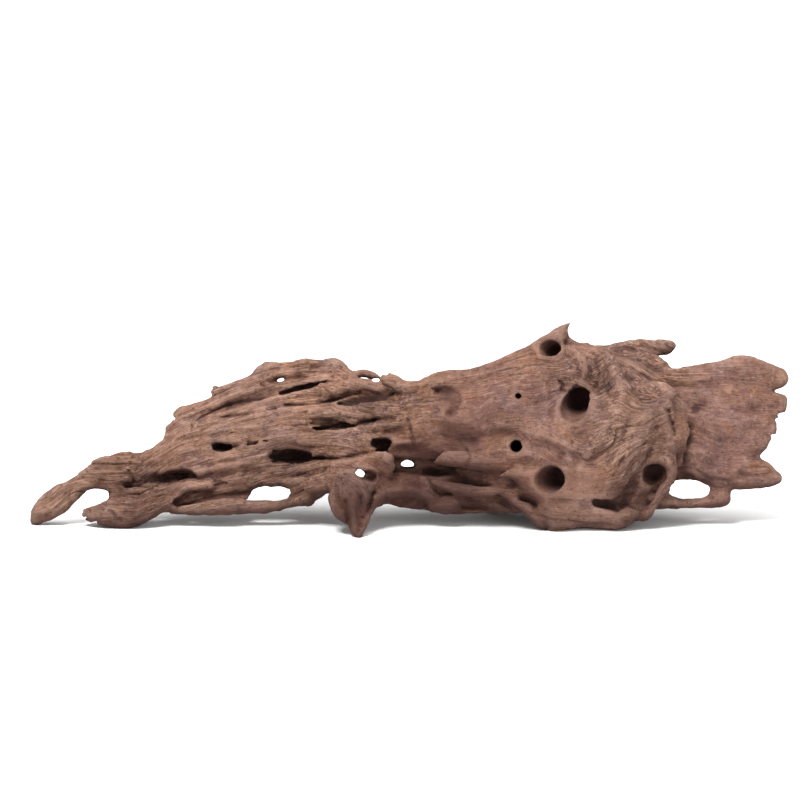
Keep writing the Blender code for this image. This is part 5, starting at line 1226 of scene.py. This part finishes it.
def fibre_group():
    """Streaks that run with the grain, from 0 to 1 across them. Cracks is 1 on their thin dark seams."""
    number, vector = "NodeSocketFloat", "NodeSocketVector"
    sizes = [(label, number, 1.0) for label in ("Length", "Width", "Seed", "Seam")]
    tree, nodes, given, result = make_group(
        "fibres", [("Grain", vector, None), *sizes], [("Streaks", number), ("Cracks", number)])
    along = nodes.math("DIVIDE", 1.0, given["Length"])
    across = nodes.math("DIVIDE", 1.0, given["Width"])
    deep = nodes.times(across, 0.6)
    stretch = nodes.add("ShaderNodeCombineXYZ", {"X": along, "Y": across, "Z": deep}).outputs[0]
    stretched = nodes.add("ShaderNodeVectorMath", {0: given["Grain"], 1: stretch}, operation="MULTIPLY")
    texture = nodes.noise(stretched.outputs[0], 1.0, 3.0, 0.55, noise_dimensions="4D")
    nodes.give(texture.inputs["W"], given["Seed"])
    noise = texture.outputs["Fac"]
    nodes.give(result["Streaks"], nodes.span(noise, 0.3, 0.7))
    offset = nodes.math("ABSOLUTE", nodes.math("SUBTRACT", noise, 0.5))
    share = nodes.math("DIVIDE", offset, given["Seam"])
    nodes.give(result["Cracks"], nodes.math("SUBTRACT", 1.0, nodes.math("MINIMUM", share, 1.0)))
    return tree


def new_material(name):
    """A new material and its shader."""
    material = bpy.data.materials.new(name)
    material.use_nodes = True
    return material, material.node_tree.nodes["Principled BSDF"]


def wood_signs(nodes):
    """Every value that the colour and the relief of the wood follow, by name."""
    marks = [*HOLLOWS, "split", "fibrous", "under", *STAINS_AND_PAINTED_SHADE]
    signs = {name: nodes.attribute(name) for name in marks}
    place = nodes.add("ShaderNodeTexCoord").outputs["Object"]
    for name, (scale, detail, roughness) in NOISES.items():
        signs[name] = nodes.noise(place, scale, detail, roughness).outputs["Fac"]
    grain = nodes.attribute("grain", "Vector")
    group = fibre_group()
    cracks = {}
    for name, (length, width, seed, seam) in FIBRES.items():
        fibres = nodes.add("ShaderNodeGroup", node_tree=group)
        sizes = {"Grain": grain, "Length": length, "Width": width, "Seed": seed, "Seam": seam}
        for label, value in sizes.items():
            nodes.give(fibres.inputs[label], value)
        signs[name] = fibres.outputs["Streaks"]
        cracks[name] = fibres.outputs["Cracks"]
    # Painted shade under the wood, weaker where the wood is pale.
    signs["shade"] = nodes.times(signs["under"], nodes.span(signs["pale"], 0.0, 1.0, 0.9, 0.3))
    seams = nodes.math("MAXIMUM", cracks["middle"], cracks["fine"])
    seams = nodes.times(seams, nodes.span(signs["cloud"], 0.4, 0.56), signs["fibrous"])
    signs["seams"] = nodes.math("MAXIMUM", seams, signs["split"])
    return signs


def wood_colour(nodes, signs):
    """Brown and tan wood, under all the coats of colour; some coats paint shade in the hollows, creases and
    undersides, and a highlight on the ridges.
    """
    tan_share = nodes.math("MULTIPLY_ADD", nodes.span(signs["cloud"], 0.35, 0.65), 0.4, signs["tan"])
    colour = nodes.blend(nodes.math("MINIMUM", tan_share, 1.0), BROWN, TAN)
    for paint, strength, followed in COATS:
        shares = []
        for sign in followed:
            if isinstance(sign, str):
                shares.append(signs[sign])
            else:
                name, start, full = sign
                shares.append(nodes.span(signs[name], start, full))
        colour = nodes.blend(nodes.times(*shares, strength), colour, paint)
    return colour


def wood_relief(nodes, signs):
    """The fine relief of the fibres, as a normal."""
    height = 0.0
    for name, lift in LIFTS.items():
        height = nodes.math("MULTIPLY_ADD", signs[name], lift, height)
    height = nodes.times(height, nodes.math("MULTIPLY_ADD", signs["fibrous"], 0.7, 0.3))
    bump = nodes.add("ShaderNodeBump", {"Height": height, "Strength": 1.0, "Distance": BUMP_DEPTH})
    return bump.outputs["Normal"]


def weathered_wood_material():
    """Dry matt wood, whose fibres, hollows and stains follow what is stored on the surface; its colour
    paints shade in the hollows, creases and undersides, and a highlight on the ridges.
    """
    material, shader = new_material("weathered wood")
    nodes = Nodes(material.node_tree)
    signs = wood_signs(nodes)
    nodes.give(shader.inputs["Base Color"], wood_colour(nodes, signs))
    nodes.give(shader.inputs["Roughness"], nodes.span(signs["middle"], 0.0, 1.0, 0.72, 0.92))
    shader.inputs["Specular IOR Level"].default_value = WOOD_GLOSS
    nodes.give(shader.inputs["Normal"], wood_relief(nodes, signs))
    return material


def make_floor():
    """A plain pale floor, much wider than the picture."""
    bpy.ops.mesh.primitive_plane_add(size=FLOOR_SIZE)
    floor = bpy.context.object
    floor.name = "floor"
    material, shader = new_material("pale floor")
    shader.inputs["Base Color"].default_value = (*FLOOR_COLOUR, 1.0)
    shader.inputs["Roughness"].default_value = FLOOR_ROUGHNESS
    shader.inputs["Specular IOR Level"].default_value = FLOOR_GLOSS
    floor.data.materials.append(material)


def light_studio():
    """Soft square lamps turned towards the wood, and an even pale sky."""
    for name, (place, size, power) in SOFTBOXES.items():
        lamp = bpy.data.lights.new(name, "AREA")
        lamp.shape = "SQUARE"
        lamp.size = size
        lamp.energy = power
        holder = add_object(name, lamp)
        holder.location = place
        outwards = Vector(place) - Vector(LAMP_TARGET)
        holder.rotation_euler = outwards.to_track_quat("Z", "Y").to_euler()
    world = bpy.data.worlds.new("studio")
    world.use_nodes = True
    background = world.node_tree.nodes["Background"]
    background.inputs["Color"].default_value = (*SKY_COLOUR, 1.0)
    background.inputs["Strength"].default_value = SKY_STRENGTH
    bpy.context.scene.world = world


def place_camera():
    """A long lens, looking down by the tilt of the drawing at the middle of the picture."""
    camera = bpy.data.cameras.new("portrait camera")
    camera.lens = LENS * 1000
    camera.sensor_width = FILM_WIDTH * 1000
    camera.clip_end = FARTHEST_SEEN
    distance = PICTURE_WIDTH * UNIT * LENS / FILM_WIDTH
    backwards = Vector((0, -math.cos(VIEW_TILT), math.sin(VIEW_TILT)))
    holder = add_object("portrait camera", camera)
    holder.location = Vector(upright([PICTURE_MIDDLE])[0]) + backwards * distance
    holder.rotation_euler = backwards.to_track_quat("Z", "Y").to_euler()
    bpy.context.scene.camera = holder
    bpy.context.scene.view_settings.view_transform = "Standard"


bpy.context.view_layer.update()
place_camera()
light_studio()
make_floor()
driftwood = make_driftwood()
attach(driftwood, "root")
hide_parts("driftwood")
